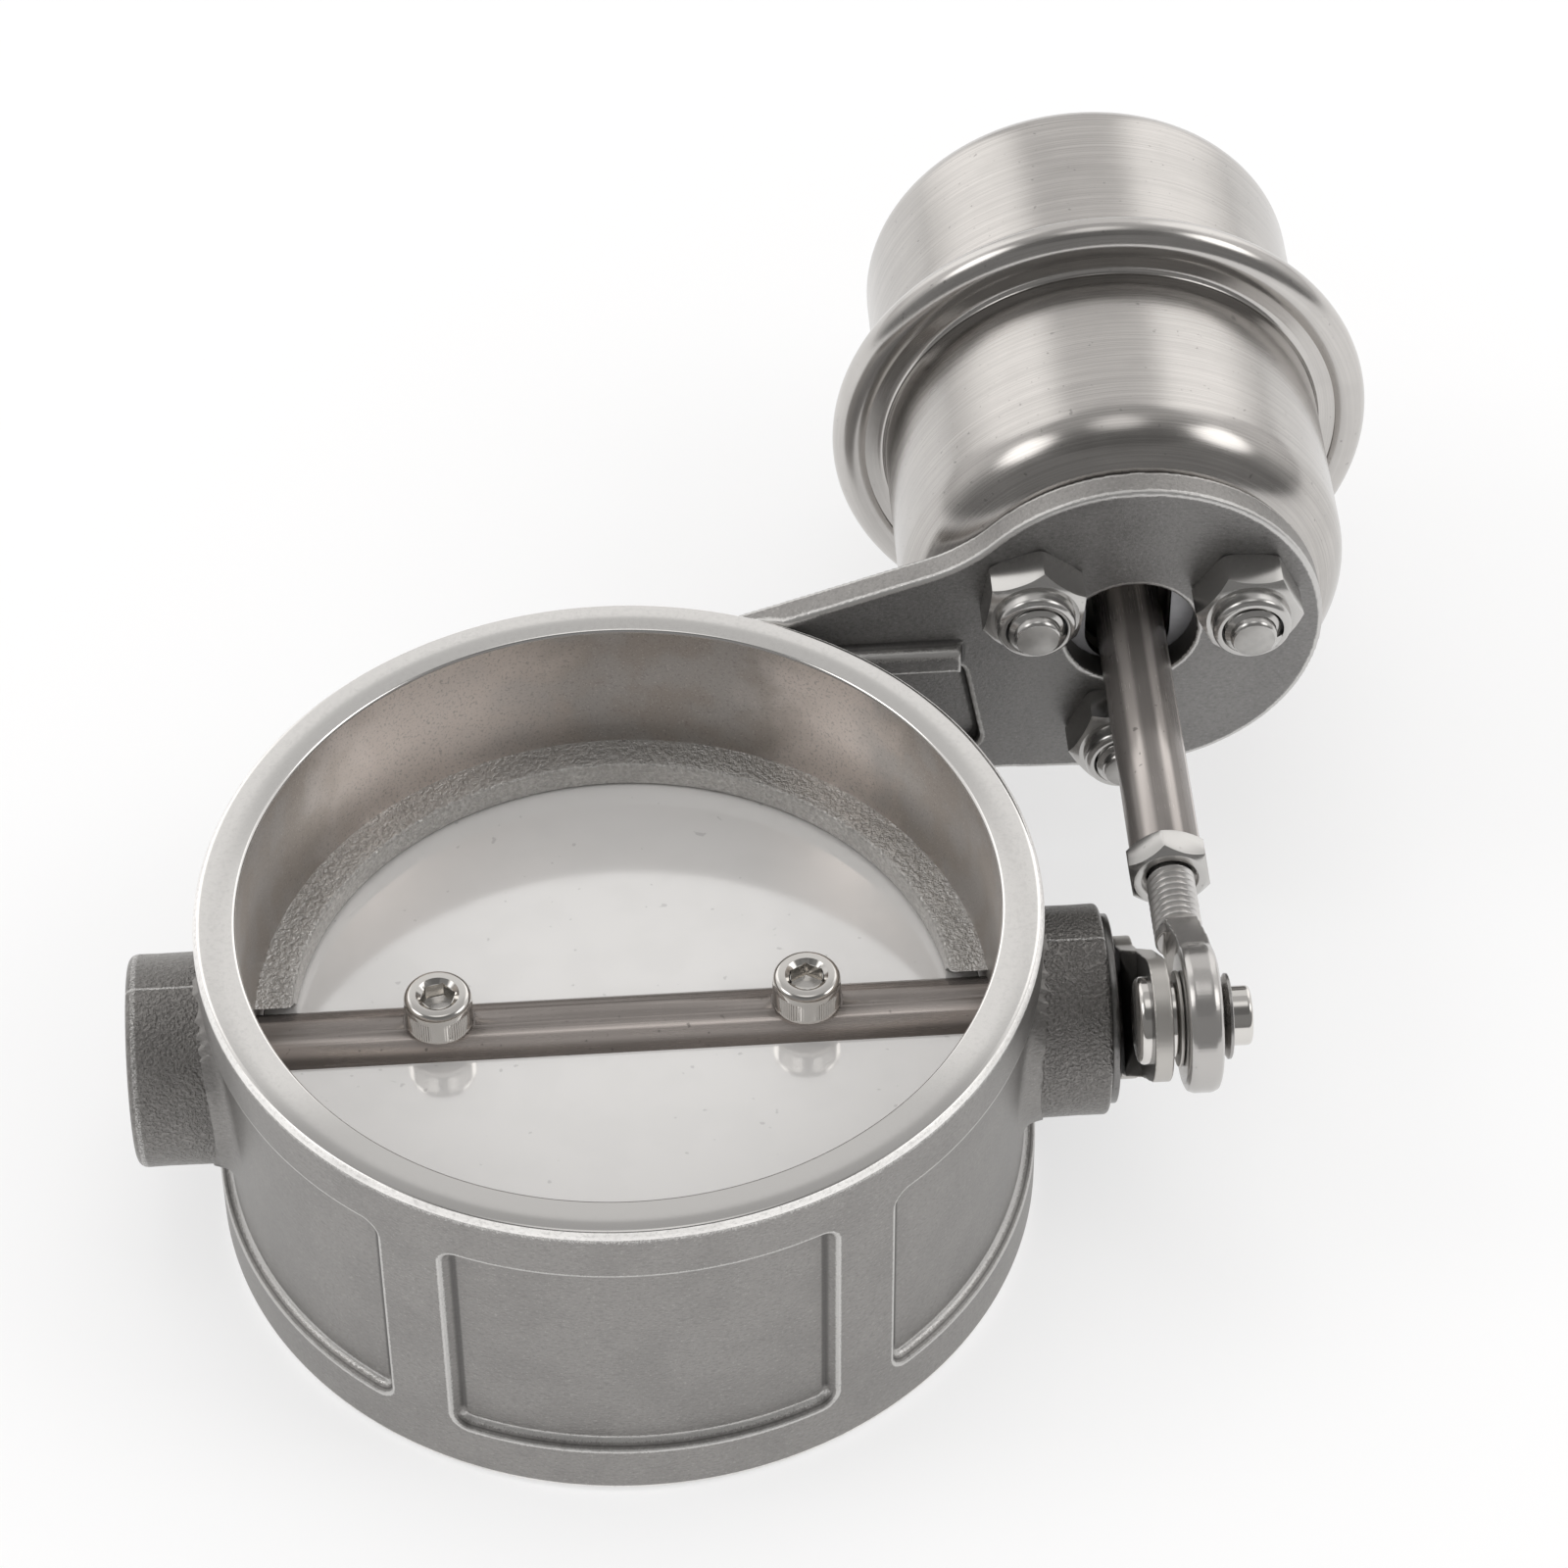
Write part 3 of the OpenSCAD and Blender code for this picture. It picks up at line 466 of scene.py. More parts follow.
@dataclass(frozen=True)
class TurnedRim(Finish):
    """Machined face with fine rings about the duct's axis, with painted shade at the front, where its
    reflection is darker.
    """

    def dress(self, g: Skin) -> None:
        """Adds the tool's rings, small marks and the painted shade at the front."""
        here = g.place()
        x, y, z = g.split(here)
        r = (x * x + y * y) ** 0.5
        rings = g.noise(g.join(r * 9.0, z * 9.0, 0.0), 1.0, 2.0)
        marks = g.noise(here, 2.2, 4.0, 0.7)
        shade = g.mix(g.band(marks, 0.42, 0.7), self.colour, lighter(self.colour, 0.95))
        # Painted shade on the front of the rim, where its reflection is darker
        g.give(Base_Color=g.mix(g.band(y, -29.0, -20.0, 0.9, 0.0), shade, lighter(self.colour, 0.7)),
               Roughness=g.band(marks, 0.45, 0.75, self.roughness, self.roughness + 0.05),
               Normal=g.bump(rings * 0.9 + marks * 0.1, 0.0012))


@dataclass(frozen=True)
class DuctSkin(Finish):
    """Inside wall of the duct, warm and speckled, with painted highlights along some stretches."""

    pale: tuple[tuple[float, float], ...] = ()

    def dress(self, g: Skin) -> None:
        """Adds warm clouding, the painted highlights along the stretches and dark and pale specks."""
        here = g.place()
        x, y, z = g.split(here)
        cloud = g.noise(here, 0.2, 3.0, 0.5)
        fine = g.noise(here, 3.4, 4.0, 0.65)
        speck = g.band(g.noise(here, 5.0, 1.0), 0.62, 0.72, 0.0, 0.5)
        warm = g.mix(g.band(cloud, 0.38, 0.62), self.colour, lighter(self.colour, 0.93, 0.89, 0.85))
        turn = y.atan2(x) + (cloud - 0.5) * 0.3
        # Painted highlights along the stretches
        for pale in g.stretches(turn, self.pale, 0.2, 1.8, 0.8):
            warm = g.mix(pale, warm, lighter(self.colour, 2.0, 1.9, 1.85))
        worn = g.mix(g.band(fine, 0.34, 0.48, 0.5, 0.0), warm, lighter(self.colour, 0.55))
        g.give(Base_Color=g.mix(speck, worn, lighter(self.colour, 1.5)),
               Roughness=fine * 0.3 + (self.roughness - 0.15), Normal=g.bump(fine, 0.03))


@dataclass(frozen=True)
class LaidLines(Finish):
    """Drawn or turned metal with fine lines and painted highlight bands where given; along picks how the
    lines run.
    """

    along: Axis = Axis.Y
    centre: tuple[float, float] = (0.0, 0.0)
    turned: bool = True
    relief: float = 0.004
    contrast: float = 0.08
    painted_highlights: tuple[tuple[float, float], ...] = ()

    def dress(self, g: Skin) -> None:
        """Adds the lines, their change of gloss, slow clouding and the painted highlight bands."""
        here = g.place()
        x, y, z = g.split(here)
        across, first, second = {Axis.X: (x, y, z), Axis.Y: (y, x, z), Axis.Z: (z, x, y)}[self.along]
        a = first - self.centre[0]
        b = second - self.centre[1]
        r = (a * a + b * b) ** 0.5
        turn = b.atan2(a)
        if self.turned:
            where = g.join(across * 6.0, r * 6.0, turn * 0.8)
        else:
            where = g.join(across * 0.06, 0.0, turn * 26.0)
        lines = g.noise(where, 1.0, 3.0, 0.7)
        cloud = g.noise(here, 0.12, 3.0, 0.6)
        speck = g.band(g.noise(here, 1.6, 1.0), 0.72, 0.78)
        shade = g.mix(g.band(lines, 0.35, 0.65), lighter(self.colour, 1.0 - self.contrast),
                      lighter(self.colour, 1.0 + self.contrast))
        shade = g.mix(g.band(cloud, 0.35, 0.65, 0.35, 0.0), shade, lighter(self.colour, 0.8))
        # Painted highlight bands round the axis
        for pale in g.stretches(turn, self.painted_highlights, 0.35, 1.3, 0.85):
            shade = g.mix(pale, shade, lighter(self.colour, 2.3))
        g.give(Base_Color=g.mix(speck * 0.6, shade, lighter(self.colour, 0.5)),
               Roughness=lines * 0.12 + cloud * 0.12 + (self.roughness - 0.12),
               Normal=g.bump(lines, self.relief))


@dataclass(frozen=True)
class Polish(Finish):
    """Bright polished metal with a few specks and hairlines."""

    relief: float = 0.003

    def dress(self, g: Skin) -> None:
        """Adds hairlines, specks and a trace of waviness."""
        here = g.place()
        cloud = g.noise(here, 0.18, 2.0)
        hair = g.noise(g.stretch(here, (0.5, 9.0, 9.0)), 1.0, 2.0, 0.6)
        speck = g.band(g.noise(here, 0.9, 1.0), 0.74, 0.78)
        shade = g.mix(g.band(cloud, 0.4, 0.65, 0.0, 0.3), self.colour, lighter(self.colour, 0.93))
        g.give(Base_Color=g.mix(speck * 0.4, shade, lighter(self.colour, 0.5)),
               Roughness=hair * 0.06 + cloud * 0.06 + (self.roughness - 0.06),
               Normal=g.bump(hair, self.relief))


class Finishes:
    """The finishes of this valve; the pairs are the axes that turned pieces have."""

    SHAFT_AXIS: ClassVar[tuple[float, float]] = (0.0, 20.35)
    PIN_AXIS: ClassVar[tuple[float, float]] = (-13.6, 34.0)
    ROD_AXIS: ClassVar[tuple[float, float]] = (56.35, 34.0)
    CAN_AXIS: ClassVar[tuple[float, float]] = (55.95, 36.82)

    CAST = CastSkin("cast_skin", tone(0.31, 0.30, 0.29), 0.85, 0.44)
    PEBBLED = CastSkin("pebbled_skin", tone(0.60, 0.585, 0.565), 0.85, 0.4, pebbles=0.1)
    BOSS = BossSkin("boss_skin", tone(0.26, 0.25, 0.24), 0.9, 0.33, pebbles=0.11, pebble_size=0.36)
    FACED = CastSkin("ground_bracket", tone(0.25, 0.245, 0.24), 0.85, 0.42, grain=0.012,
                     stretch=(1.0, 1.0, 1.6))
    RIM = TurnedRim("machined_rim", tone(0.84, 0.825, 0.805), 1.0, 0.14)
    # The duct's wall gets painted highlights along two stretches
    DUCT = DuctSkin("duct_wall", tone(0.415, 0.39, 0.37), 0.78, 0.36, pale=((121.0, 17.0), (52.0, 9.0)))
    # The rims' worn edges, pale with a painted highlight
    WORN_SHEEN = CastSkin("worn_edge_sheen", tone(0.88, 0.865, 0.845), 0.25, 0.36, grain=0.02)
    # Painted shade on the canister's face seen through the bracket's hole
    SHADED = Finish("shaded_face", tone(0.40, 0.40, 0.415), 0.3, 0.42)
    # Painted shade on the wall of the bracket's hole for the rod
    SHADE_BORE = Finish("painted_shade_bore", tone(0.10, 0.095, 0.09), 0.6, 0.45)
    PLATE = Polish("mirror_plate", tone(0.78, 0.77, 0.76), 0.4, 0.1, relief=0.0003)
    # The shaft and the rod carry painted highlight bands
    BAR = LaidLines("shaft_bar", tone(0.27, 0.245, 0.23), 0.7, 0.26, Axis.X, SHAFT_AXIS, turned=False,
                    relief=0.0008, contrast=0.04, painted_highlights=((128.0, 14.0),))
    ROD = LaidLines("rod_bar", tone(0.27, 0.25, 0.237), 0.6, 0.25, Axis.Y, ROD_AXIS, turned=False,
                    relief=0.0006, contrast=0.04, painted_highlights=((118.0, 13.0), (72.0, 9.0), (22.0, 6.0)))
    CUP = LaidLines("brushed_cup", tone(0.53, 0.51, 0.49), 1.0, 0.2, Axis.Y, CAN_AXIS, contrast=0.1)
    BEAD = LaidLines("rolled_bead", tone(0.60, 0.58, 0.56), 1.0, 0.2, Axis.Y, CAN_AXIS, relief=0.001,
                     contrast=0.04)
    BRIGHT = Polish("bright_steel", tone(0.70, 0.685, 0.665), 1.0, 0.16, relief=0.0004)
    NUT = Polish("nut_steel", tone(0.55, 0.54, 0.525), 0.95, 0.21, relief=0.0004)
    SAWN = Finish("sawn_end", tone(0.50, 0.49, 0.475), 0.8, 0.45)
    FORGED = Polish("forged_eye", tone(0.52, 0.505, 0.49), 0.85, 0.21, relief=0.0006)
    THREAD = Finish("rolled_thread", tone(0.66, 0.645, 0.63), 0.9, 0.33)
    STRIP = LaidLines("strip_steel", tone(0.54, 0.525, 0.51), 1.0, 0.27, Axis.X, PIN_AXIS, relief=0.002,
                      contrast=0.05)
    # Dark pressed steel of the seal cover, and painted shade on the lever's side towards the ring
    PRESSED_AND_SHADED = LaidLines("pressed_and_shaded", tone(0.24, 0.235, 0.23), 1.0, 0.3, Axis.X, PIN_AXIS, relief=0.001,
                        contrast=0.1)
    CLIP = Polish("clip_steel", tone(0.40, 0.39, 0.38), 1.0, 0.28, relief=0.0004)
    BRONZE = Finish("bush_bronze", tone(0.55, 0.42, 0.26), 1.0, 0.45)
    GRAPHITE = Finish("pressed_graphite", tone(0.05, 0.05, 0.052), 0.0, 0.6)
    RUBBER = Finish("diaphragm_rubber", tone(0.03, 0.03, 0.032), 0.0, 0.7)
    NYLON = Finish("nut_insert", tone(0.06, 0.06, 0.06), 0.0, 0.5)
    WIRE = LaidLines("spring_wire", tone(0.42, 0.42, 0.43), 1.0, 0.35, Axis.Y, CAN_AXIS)


# ---------------------------------------------------------------- shaping


def corner_radius(width: float) -> float:
    """Radius of a hexagon's corners from its width across flats."""
    return width / 2 / math.cos(math.pi / 6)


class Bench:
    """Shaping steps that several pieces share, all with Blender's own operators."""

    @staticmethod
    def clear() -> None:
        """Leaves edit mode and deselects everything."""
        if bpy.context.object is not None and bpy.context.object.mode != "OBJECT":
            bpy.ops.object.mode_set(mode="OBJECT")
        bpy.ops.object.select_all(action="DESELECT")

    @classmethod
    def only(cls, obj: bpy.types.Object) -> None:
        """Selects one object alone and makes it active."""
        cls.clear()
        obj.select_set(True)
        bpy.context.view_layer.objects.active = obj

    @classmethod
    def mend(cls, obj: bpy.types.Object, near: float = NEAR, fill: bool = False) -> None:
        """Merges points that coincide and turns all faces outwards.

        Args:
            obj: The piece.
            near: Distance below which points merge, in metres.
            fill: Whether open ends are closed too.
        """
        cls.only(obj)
        bpy.ops.object.mode_set(mode="EDIT")
        bpy.ops.mesh.select_all(action="SELECT")
        bpy.ops.mesh.remove_doubles(threshold=near)
        if fill:
            bpy.ops.mesh.fill_holes(sides=0)
        bpy.ops.mesh.select_all(action="SELECT")
        bpy.ops.mesh.normals_make_consistent(inside=False)
        bpy.ops.object.mode_set(mode="OBJECT")

    @staticmethod
    def spot(axis: Axis, centre: Point, r: float, t: float) -> Vector:
        """Point of a profile.

        Args:
            axis: Axis of the turned piece.
            centre: Any point on the axis; its own coordinate along the axis counts as zero.
            r: Radius.
            t: Place along the axis.

        Returns:
            The point in metres.
        """
        shift = {Axis.X: (t, 0.0, r), Axis.Y: (r, t, 0.0), Axis.Z: (r, 0.0, t)}[axis]
        base = [0.0 if axis.value[i] else centre[i] for i in range(3)]
        return Vector([(base[i] + shift[i]) * MM for i in range(3)])

    @classmethod
    def chain(cls, name: str, points: Sequence[Vector]) -> bpy.types.Object:
        """Draws a line of edges by extruding one vertex.

        Args:
            name: Name of the object.
            points: The line's points in metres.

        Returns:
            The object, still in edit mode.
        """
        cls.clear()
        bpy.ops.mesh.primitive_plane_add(size=MM, location=points[0])
        obj = bpy.context.object
        obj.name = name
        bpy.ops.object.mode_set(mode="EDIT")
        bpy.ops.mesh.select_all(action="SELECT")
        bpy.ops.mesh.merge(type="CENTER")
        for start, end in zip(points, points[1:]):
            bpy.ops.mesh.extrude_region_move(TRANSFORM_OT_translate={"value": end - start})
        return obj

    @classmethod
    def turned(cls, name: str, axis: Axis, centre: Point, profile: Profile, steps: int = 96,
               closed: bool = False, start: float = 0.0, sweep: float = 360.0) -> bpy.types.Object:
        """Turns a profile about an axis.

        Args:
            name: Name of the piece.
            axis: Axis that it is turned about.
            centre: A point on the axis, in mm.
            profile: Radius and place along the axis, in mm.
            steps: Number of steps.
            closed: Whether the profile joins up with its own start.
            start: Angle that the turned stretch starts at, in degrees.
            sweep: Angle that it covers.

        Returns:
            The finished mesh as an object at the origin.
        """
        line = list(profile) + ([profile[0]] if closed else [])
        obj = cls.chain(name, [cls.spot(axis, centre, r, t) for r, t in line])
        pivot = cls.spot(axis, centre, 0.0, 0.0)
        bpy.ops.mesh.select_all(action="SELECT")
        if closed:
            bpy.ops.mesh.remove_doubles(threshold=NEAR)
        if start:
            bpy.ops.object.mode_set(mode="OBJECT")
            cls.settle(obj)
            spin = Matrix.Rotation(math.radians(start), 4, Vector(axis.value))
            obj.data.transform(Matrix.Translation(pivot) @ spin @ Matrix.Translation(-pivot))
            bpy.ops.object.mode_set(mode="EDIT")
            bpy.ops.mesh.select_all(action="SELECT")
        whole = sweep >= 360.0
        # Without a window the spin runs clockwise for a positive angle
        bpy.ops.mesh.spin(steps=steps, angle=-math.radians(sweep), center=pivot, axis=axis.value,
                          use_auto_merge=whole)
        cls.mend(obj, fill=not whole)
        cls.settle(obj)
        return obj

    @classmethod
    def rod(cls, name: str, axis: Axis, centre: Point, r: float, start: float,
            end: float) -> bpy.types.Object:
        """Plain round bar, to cut with.

        Args:
            name: Name of the object.
            axis: Axis of the bar.
            centre: A point on the axis, in mm.
            r: Radius.
            start: Where it starts along the axis.
            end: Where it ends.

        Returns:
            The bar.
        """
        return cls.turned(name, axis, centre, [(0, start), (r, start), (r, end), (0, end)], 96)

    @classmethod
    def settle(cls, obj: bpy.types.Object) -> None:
        """Puts the object's place into its mesh."""
        cls.only(obj)
        bpy.ops.object.transform_apply(location=True, rotation=True, scale=True)

    @classmethod
    def modify(cls, obj: bpy.types.Object, kind: str, **settings: object) -> None:
        """Adds a modifier and applies it.

        Args:
            obj: The piece.
            kind: Blender's type name of the modifier.
            settings: Its settings.
        """
        cls.only(obj)
        made = obj.modifiers.new(kind.lower(), kind)
        for key, value in settings.items():
            setattr(made, key, value)
        bpy.ops.object.modifier_apply(modifier=made.name)

    @classmethod
    def cut(cls, obj: bpy.types.Object, tool: bpy.types.Object, operation: str = "DIFFERENCE") -> None:
        """Cuts or joins the object with a tool, which is used up."""
        cls.modify(obj, "BOOLEAN", operation=operation, object=tool, solver="EXACT")
        bpy.data.objects.remove(tool, do_unlink=True)

    @classmethod
    def join(cls, parts: Sequence[bpy.types.Object], name: str) -> bpy.types.Object:
        """Joins meshes into one piece."""
        cls.only(parts[0])
        for part in parts[1:]:
            part.select_set(True)
        bpy.ops.object.join()
        parts[0].name = name
        return parts[0]

    @classmethod
    def soften(cls, obj: bpy.types.Object, degrees: float = 32.0) -> None:
        """Shades the piece smooth except at sharp edges."""
        cls.only(obj)
        bpy.ops.object.shade_smooth_by_angle(angle=math.radians(degrees))

    @classmethod
    def weigh(cls, obj: bpy.types.Object, rule: Callable[[Vector], float], height: float) -> None:
        """Moves vertices along their normals by a painted weight.

        Args:
            obj: The piece.
            rule: Weight of a vertex from its place in mm.
            height: Move at weight 1, in mm.
        """
        group = obj.vertex_groups.new(name="weight")
        for vertex in obj.data.vertices:
            weight = rule(vertex.co / MM)
            if weight > 0.0:
                group.add([vertex.index], min(weight, 1.0), "REPLACE")
        cls.modify(obj, "DISPLACE", vertex_group=group.name, strength=height * MM, mid_level=0.0)
        obj.vertex_groups.clear()

    @classmethod
    def wear_and_shade(cls, obj: bpy.types.Object, rounds: int = 2, gain: float = 2.5) -> None:
        """Stores the attribute that the cast skins read: above 0 on edges that stand out, which are worn
        bright with a painted highlight, and below 0 in inner corners, which get painted shade.

        Args:
            obj: The piece.
            rounds: Rounds of spreading to the neighbours.
            gain: Factor on the slope between neighbours.
        """
        mesh = obj.data
        count = len(mesh.vertices)
        place, normal = np.empty(count * 3), np.empty(count * 3)
        mesh.vertices.foreach_get("co", place)
        mesh.vertices.foreach_get("normal", normal)
        place, normal = place.reshape(-1, 3), normal.reshape(-1, 3)
        ends = np.empty(len(mesh.edges) * 2, dtype=np.int32)
        mesh.edges.foreach_get("vertices", ends)
        a, b = ends.reshape(-1, 2).T
        way = place[b] - place[a]
        way /= np.maximum(np.linalg.norm(way, axis=1), 1e-9)[:, None]
        share = np.bincount(a, minlength=count) + np.bincount(b, minlength=count)
        share = np.maximum(share, 1)
        slope_a, slope_b = (way * normal[a]).sum(1), (way * normal[b]).sum(1)
        value = (np.bincount(b, slope_b, count) - np.bincount(a, slope_a, count)) / share
        for _ in range(rounds):
            value = (value + (np.bincount(a, value[b], count) + np.bincount(b, value[a], count)) / share) / 2
        layer = mesh.attributes.new("wear_and_shade", "FLOAT", "POINT")
        layer.data.foreach_set("value", np.clip(value * gain, -1.0, 1.0).astype(np.float32))

    @classmethod
    def hexagon(cls, name: str, axis: Axis, centre: Point, width: float, length: float,
                corner: float) -> bpy.types.Object:
        """Six-sided bar.

        Args:
            name: Name of the object.
            axis: Axis of the bar, Y or Z.
            centre: Middle of the bar, in mm.
            width: Width across flats.
            length: Length along the axis.
            corner: Angle of one corner above +X, seen from the front or from above, in degrees.

        Returns:
            The bar.
        """
        cls.clear()
        bpy.ops.mesh.primitive_cylinder_add(vertices=6, radius=corner_radius(width) * MM,
                                            depth=length * MM, location=(0, 0, 0))
        obj = bpy.context.object
        obj.name = name
        # The cylinder's first corner points along +Y
        spin = Matrix.Rotation(math.radians(corner - 90.0), 4, "Z")
        lay = Matrix.Rotation(math.radians(90.0), 4, "X") if axis is Axis.Y else Matrix.Identity(4)
        obj.data.transform(Matrix.Translation(Vector(centre) * MM) @ lay @ spin)
        return obj

    @classmethod
    def from_node(cls, node: str, name: str) -> bpy.types.Object:
        """Copies a CAD solid to shape it further.

        Args:
            node: The CAD node.
            name: Name of the piece.

        Returns:
            The copy, merged and with its faces outwards.
        """
        obj = bpy.data.objects.new(name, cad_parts[node].data.copy())
        bpy.context.scene.collection.objects.link(obj)
        obj.data.materials.clear()
        cls.mend(obj, NEAR / 2)
        return obj

    @classmethod
    def reskin(cls, obj: bpy.types.Object, voxel: float, rounds: int) -> None:
        """Melts a solid into one smooth skin.

        Args:
            obj: The piece.
            voxel: Size of its grid in mm.
            rounds: Rounds of smoothing.
        """
        cls.modify(obj, "REMESH", mode="VOXEL", voxel_size=voxel * MM, use_smooth_shade=True)
        cls.modify(obj, "SMOOTH", factor=0.5, iterations=rounds)

    @classmethod
    def helix(cls, name: str, axis: Axis, centre: Point, core: float, crest: float, pitch: float,
              start: float, turns: float) -> bpy.types.Object:
        """Ridge of a thread, sunk a little into its core.

        Args:
            name: Name of the object.
            axis: Axis of the thread, Y or Z.
            centre: A point on the axis, in mm.
            core: Radius of the core.
            crest: Radius of the crests.
            pitch: Distance from crest to crest.
            start: Place along the axis where it starts.
            turns: Number of turns.

        Returns:
            The ridge.
        """
        low = core - 0.15
        flank = crest - 0.06
        tooth: Profile = [(low, 0.02), (flank, 0.40), (crest, 0.47)]
        tooth += [(crest, 0.53), (flank, 0.60), (low, 0.98)]
        flat = (0.0, 0.0, 0.0)
        points = [cls.spot(axis, flat, r, t * pitch) for r, t in tooth + [tooth[0]]]
        obj = cls.chain(name, points)
        bpy.ops.mesh.select_all(action="SELECT")
        bpy.ops.mesh.remove_doubles(threshold=NEAR)
        bpy.ops.object.mode_set(mode="OBJECT")
        cls.settle(obj)
        cls.modify(obj, "SCREW", axis=axis.name, angle=math.radians(360.0 * turns), iterations=1,
                   screw_offset=pitch * turns * MM, steps=int(64 * turns), render_steps=int(64 * turns))
        shift = [0.0 if axis.value[i] else centre[i] for i in range(3)]
        shift = [shift[i] + start * axis.value[i] for i in range(3)]
        obj.data.transform(Matrix.Translation(Vector(shift) * MM))
        cls.mend(obj, fill=True)
        return obj

    @classmethod
    def ease(cls, obj: bpy.types.Object, width: float, segments: int, degrees: float) -> None:
        """Bevels the edges that are sharper than an angle.

        Args:
            obj: The piece.
            width: Width of the bevels in mm.
            segments: Steps across a bevel.
            degrees: The angle.
        """
        cls.modify(obj, "BEVEL", width=width * MM, segments=segments, limit_method="ANGLE",
                   angle_limit=math.radians(degrees))


class Piece:
    """Places finished meshes on the frame."""

    count: ClassVar[int] = 0

    @classmethod
    def finish(cls, obj: bpy.types.Object, body: Body, slot: str, finishes: Sequence[Finish],
               zone: Callable[[Vector, Vector], int] | None = None, nodes: Iterable[str] = ()) -> None:
        """Dresses a piece and lets it ride.

        Args:
            obj: The piece.
            body: CAD body that it rides on.
            slot: Name of a material slot; not used.
            finishes: Its finishes.
            zone: Number of the finish from a face's middle and normal, in mm.
            nodes: CAD nodes that it stands for.
        """
        obj.data.materials.clear()
        for item in finishes:
            obj.data.materials.append(item.build())
        if zone is not None:
            for face in obj.data.polygons:
                face.material_index = zone(face.center / MM, face.normal)
        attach(obj, body.value)
        if nodes:
            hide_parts(*nodes)
        cls.count += 1
        log.info("piece %s: %d faces, rides on %s", obj.name, len(obj.data.polygons), body.value)

    @staticmethod
    def keep(node: str, item: Finish, bevel: float = 0.0) -> None:
        """Dresses a CAD solid that stays as it is.

        Args:
            node: The CAD node.
            item: Its finish.
            bevel: Width of the softened edges in mm, or 0.
        """
        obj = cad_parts[node]
        material = item.build()
        if not obj.material_slots:
            obj.data.materials.append(material)
        for place in obj.material_slots:
            place.material = material
        if bevel:
            weld = obj.modifiers.new("weld", "WELD")
            weld.merge_threshold = NEAR / 2
            soft = obj.modifiers.new("edge", "BEVEL")
            soft.width = bevel * MM
            soft.segments = 2
            soft.limit_method = "ANGLE"
            soft.angle_limit = math.radians(35.0)
            soft.harden_normals = True
        log.info("solid %s keeps its shape", node)


def step(value: float, low: float, high: float) -> float:
    """Smooth step from 0 at low to 1 at high."""
    t = min(max((value - low) / (high - low), 0.0), 1.0)
    return t * t * (3.0 - 2.0 * t)


def round_off(centre_r: float, centre_t: float, radius: float, start: float, end: float,
              count: int) -> Profile:
    """Points of a rounded corner.

    Args:
        centre_r: Centre of the corner, as a radius.
        centre_t: Centre of the corner, along the axis.
        radius: Radius of the corner.
        start: First angle in degrees, from the outward direction towards the axis's own.
        end: Last angle.
        count: Number of steps.

    Returns:
        The points.
    """
    angles = [math.radians(start + (end - start) * i / count) for i in range(count + 1)]
    return [(centre_r + radius * math.cos(a), centre_t + radius * math.sin(a)) for a in angles]


# ---------------------------------------------------------------- sub-assemblies


